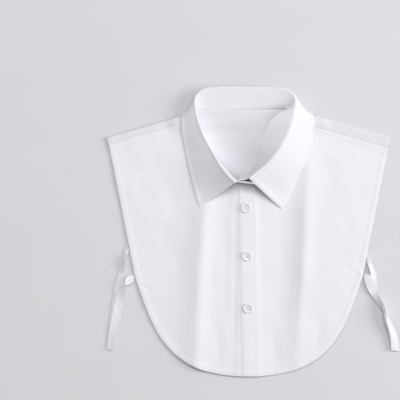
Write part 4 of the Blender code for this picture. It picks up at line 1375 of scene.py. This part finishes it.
def plain_weave():
    """Over-and-under threads of a plain weave, with slubs: a colour, a height and a roughness."""
    group = bpy.data.node_groups.new("plain_weave", "ShaderNodeTree")
    for label, way, kind in (
        ("Threads", "INPUT", "NodeSocketFloat"),
        ("Light", "INPUT", "NodeSocketColor"),
        ("Shade", "INPUT", "NodeSocketColor"),
        ("Color", "OUTPUT", "NodeSocketColor"),
        ("Height", "OUTPUT", "NodeSocketFloat"),
        ("Roughness", "OUTPUT", "NodeSocketFloat"),
    ):
        group.interface.new_socket(label, in_out=way, socket_type=kind)
    nodes, links = group.nodes, group.links
    given = nodes.new("NodeGroupInput").outputs
    result = nodes.new("NodeGroupOutput").inputs
    where = nodes.new("ShaderNodeAttribute")
    where.attribute_name = "weave"
    split = nodes.new("ShaderNodeSeparateXYZ")
    links.new(where.outputs["Vector"], split.inputs[0])
    waves = []
    for axis in ("X", "Y"):
        turns = maths(group, "MULTIPLY", split.outputs[axis], given["Threads"])
        waves.append(maths(group, "SINE", maths(group, "MULTIPLY", turns, math.pi)))
    crossing = maths(group, "MULTIPLY", *waves)
    noises = []
    place = where.outputs["Vector"]
    for scale, detail in ((240.0, 3.0), (26.0, 2.0)):
        noise = figure(nodes, links, "ShaderNodeTexNoise", place, Scale=scale, Detail=detail)
        noises.append(noise.outputs["Fac"])
    slub, cloud = noises
    height = maths(group, "MULTIPLY", crossing, 0.5)
    height = maths(group, "ADD", height, maths(group, "MULTIPLY", slub, 0.6))
    links.new(height, result["Height"])
    shade = maths(group, "MULTIPLY", cloud, 0.7)
    shade = maths(group, "ADD", shade, maths(group, "MULTIPLY", slub, 0.3))
    mixed = nodes.new("ShaderNodeMix")
    mixed.data_type = "RGBA"
    links.new(shade, mixed.inputs["Factor"])
    links.new(given["Light"], mixed.inputs[6])
    links.new(given["Shade"], mixed.inputs[7])
    links.new(mixed.outputs[2], result["Color"])
    links.new(maths(group, "ADD", maths(group, "MULTIPLY", slub, 0.12), 0.78), result["Roughness"])
    return group


def woven(name, group, light, shade, relief):
    """A woven white cotton with a soft sheen."""
    made, nodes, links, shader = new_material(name)
    weave = nodes.new("ShaderNodeGroup")
    weave.node_tree = group
    set_inputs(weave, Threads=THREADS_PER_METRE, Light=(*light, 1.0), Shade=(*shade, 1.0))
    for label, socket in (("Color", "Base Color"), ("Roughness", "Roughness")):
        links.new(weave.outputs[label], shader.inputs[socket])
    bumped(nodes, links, shader, weave.outputs["Height"], Strength=0.35, Distance=relief)
    set_inputs(shader, Sheen_Weight=0.08, Sheen_Roughness=0.5, Specular_IOR_Level=0.25)
    return made


def pearl_plastic():
    """Translucent white button plastic with a faint cloudy figure."""
    made, nodes, links, shader = new_material("pearl_button")
    place = nodes.new("ShaderNodeTexCoord").outputs["Object"]
    cloud = figure(nodes, links, "ShaderNodeTexNoise", place, Scale=300.0, Distortion=1.2).outputs["Fac"]
    tinted(nodes, links, shader, cloud, (0.3, (0.70, 0.71, 0.74)), (0.75, (0.84, 0.84, 0.87)))
    rough = nodes.new("ShaderNodeMapRange")
    set_inputs(rough, To_Min=0.16, To_Max=0.3)
    links.new(cloud, rough.inputs["Value"])
    links.new(rough.outputs["Result"], shader.inputs["Roughness"])
    set_inputs(shader, Coat_Weight=0.4, Coat_Roughness=0.12)
    return made


def twisted_thread():
    """White sewing thread with a fine twist."""
    made, nodes, links, shader = new_material("sewing_thread")
    place = nodes.new("ShaderNodeTexCoord").outputs["Object"]
    twist = figure(nodes, links, "ShaderNodeTexWave", place, Scale=900.0)
    twist.bands_direction = "DIAGONAL"
    tinted(nodes, links, shader, twist.outputs["Fac"], (0.0, (0.80, 0.80, 0.84)), (1.0, (0.88, 0.88, 0.91)))
    bumped(nodes, links, shader, twist.outputs["Fac"], Distance=0.00003)
    set_inputs(shader, Roughness=0.6)
    return made


def floor_finish():
    """Matt pale grey with a slight grain."""
    made, nodes, links, shader = new_material("pale_floor")
    place = nodes.new("ShaderNodeTexCoord").outputs["Object"]
    grain = figure(nodes, links, "ShaderNodeTexNoise", place, Scale=18.0).outputs["Fac"]
    tinted(nodes, links, shader, grain, (0.0, (0.63, 0.64, 0.66)), (1.0, (0.655, 0.665, 0.685)))
    set_inputs(shader, Roughness=0.9)
    return made


# ---------------------------------------------------------------- stage


def drawing_offset():
    """Where the garment's own middle line lies in the row frame, in millimetres."""
    low, high = (np.array(corner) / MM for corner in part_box("button_low"))
    back_low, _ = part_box("back_panel")
    y = BUTTON_ROWS["button_low"]
    x = placket_edge_x(y) - BUTTON_LINE_INSET
    middle = (low + high) / 2
    return np.array([middle[0] - x, middle[1] - y, back_low[2] / MM])


def placed(thing, place):
    """Puts an object into the scene at a place in metres."""
    thing.location = place
    bpy.context.scene.collection.objects.link(thing)
    return thing


def camera():
    """The one view, from straight above."""
    lens = bpy.data.cameras.new("camera")
    lens.sensor_width = SENSOR
    lens.lens = SENSOR * CAMERA_HEIGHT / (VIEW_WIDTH * MM)
    lens.clip_end = 20.0
    x, y = (np.array(VIEW_MIDDLE) + DRAWN_AT[:2]) * MM
    bpy.context.scene.camera = placed(bpy.data.objects.new("camera", lens), (x, y, CAMERA_HEIGHT))


def soft_light(name, place, power):
    """A large square lamp that points at the middle of the floor."""
    lamp = bpy.data.lights.new(name, "AREA")
    lamp.shape = "SQUARE"
    lamp.size = LIGHT_SIZE
    lamp.energy = power
    light = placed(bpy.data.objects.new(name, lamp), place)
    light.rotation_euler = (-light.location).to_track_quat("-Z", "Y").to_euler()
    light.visible_camera = False


def room_light(strength):
    """Even light from all round."""
    world = bpy.data.worlds.new("room")
    world.use_nodes = True
    set_inputs(world.node_tree.nodes["Background"], Color=(1.0, 1.0, 1.0, 1.0), Strength=strength)
    bpy.context.scene.world = world


def stage():
    """The floor and the lights."""
    bpy.ops.mesh.primitive_plane_add(size=FLOOR_SIZE, location=(0.0, 0.0, 0.0))
    floor = bpy.context.object
    floor.name = "floor"
    floor.data.materials.append(floor_finish())
    for name, (place, power) in LIGHTS.items():
        soft_light(name, place, power)
    room_light(ROOM_LIGHT)
    bpy.context.scene.view_settings.view_transform = "Standard"


# ---------------------------------------------------------------- the garment


def front_stitch_rows(side, plan):
    """Stitching along one front's hem and below its shoulder seam."""
    hem = moved_out(plan.hem, side * HEM_STITCH)
    hem = hem[(hem[:, 1] < plan.seam[0, 1] - 1.0) & (side * hem[:, 0] > side * plan.edge[-1, 0])]
    lines = [hem, moved_out(plan.seam, side * SEAM_STITCH)[2:-2]]
    if side > 0:
        ys = np.linspace(PLACKET_TOP_Y - 4.0, HEM_LOW_Y + 8.0, 120)
        lines.append(np.column_stack([placket_edge_x(ys) + BAND_EDGE - BAND_STITCH_INSET, ys]))
    return plan_rows(lines, lambda points: front_top(points, side, plan))


def placket_stitch_rows(plan):
    """Stitching beside both edges of the placket."""
    ys = np.linspace(PLACKET_TOP_Y - 1.0, HEM_LOW_Y + 1.5, 120)
    lines = [np.column_stack([placket_edge_x(ys) - away, ys]) for away in PLACKET_STITCHES]
    return plan_rows(lines, lambda points: placket_top(points, plan))


def placket_buttons(plan, plastic, thread):
    """The three buttons down the placket."""
    for name, y in BUTTON_ROWS.items():
        x = placket_edge_x(y) - BUTTON_LINE_INSET
        around = np.array([(x + dx, y + dy) for dx in (-5, 0, 5) for dy in (-5, 0, 5)])
        z = placket_top(around, plan).max() + 0.25
        button(name, BUTTON_RADIUS, BUTTON_THICK, np.array([x, y, z]), 0.0, plastic, thread)


def stand_button(plastic, thread):
    """The button that closes the stand, on the face of its over end."""
    top, foot = stand_end(OVER_END[-1:], -1).reshape(2, 3)
    up = unit(top - foot)
    spot = (foot + top) / 2 + np.array([0.0, -up[2], up[1]]) * (COLLAR_CLOTH / 2 + GAP)
    tilt = math.atan2(up[2], up[1])
    button("button_stand", STAND_BUTTON_RADIUS, STAND_BUTTON_THICK, spot, tilt, plastic, thread)


def sew(name, rows, thread, **size):
    """A piece of stitching from its rows."""
    points, faces = stitches(rows, **size)
    return registered(new_piece(name, points, faces, thread), "shirting")


def garment():
    """Makes every piece, from the back up."""
    weave = plain_weave()
    shirting = woven("white_shirting", weave, (0.79, 0.78, 0.82), (0.76, 0.755, 0.80), 0.00004)
    # A cloth a shade greyer than the fronts: painted shade for the inside of the neck, where the back panel
    # shows.
    painted_shade = woven("shirting_wrong_side", weave, (0.735, 0.725, 0.765), (0.71, 0.705, 0.745), 0.00004)
    fused = woven("fused_collar_cloth", weave, (0.795, 0.785, 0.825), (0.77, 0.765, 0.81), 0.00003)
    thread = twisted_thread()
    plastic = pearl_plastic()

    # The back panel gets the greyer cloth, so its colour carries painted shade inside the neck.
    back = back_panel(painted_shade)
    declared(back, "back_panel")

    plans = {}
    for name, side in (("left_front", 1), ("right_front", -1)):
        front, plans[side] = front_panel(name, side, shirting)
        sewn = sew(name + "_stitching", front_stitch_rows(side, plans[side]), thread)
        declared(front, name)

    plan = plans[-1]
    band = placket(shirting, plan)
    sewn = sew("placket_stitching", placket_stitch_rows(plan), thread)
    holes = sew("buttonholes", buttonhole_rows(plan), thread, pitch=1.15, length=1.15)
    declared(band, "placket")
    placket_buttons(plan, plastic, thread)

    stand, rows = collar_stand(fused)
    sewn = sew("collar_stand_stitching", rows, thread)
    declared(stand, "collar_stand")
    stand_button(plastic, thread)

    fall, rows = collar_fall(fused)
    sewn = sew("collar_fall_stitching", rows, thread)
    declared(fall, "collar_fall")

    for name, stations in TIES.items():
        if name in TIE_LIES_WITH:
            other, shared = TIE_LIES_WITH[name]
            stations = [*stations, *lying_with(TIES[other][shared])]
        declared(tie(name, stations, shirting), name)


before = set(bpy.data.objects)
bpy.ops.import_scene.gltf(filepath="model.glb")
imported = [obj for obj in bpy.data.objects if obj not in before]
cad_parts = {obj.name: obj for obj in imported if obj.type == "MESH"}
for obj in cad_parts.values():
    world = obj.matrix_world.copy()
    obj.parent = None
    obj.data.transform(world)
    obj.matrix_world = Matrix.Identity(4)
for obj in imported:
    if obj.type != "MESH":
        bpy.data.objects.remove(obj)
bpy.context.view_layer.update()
DRAWN_AT = drawing_offset()
camera()
stage()
garment()
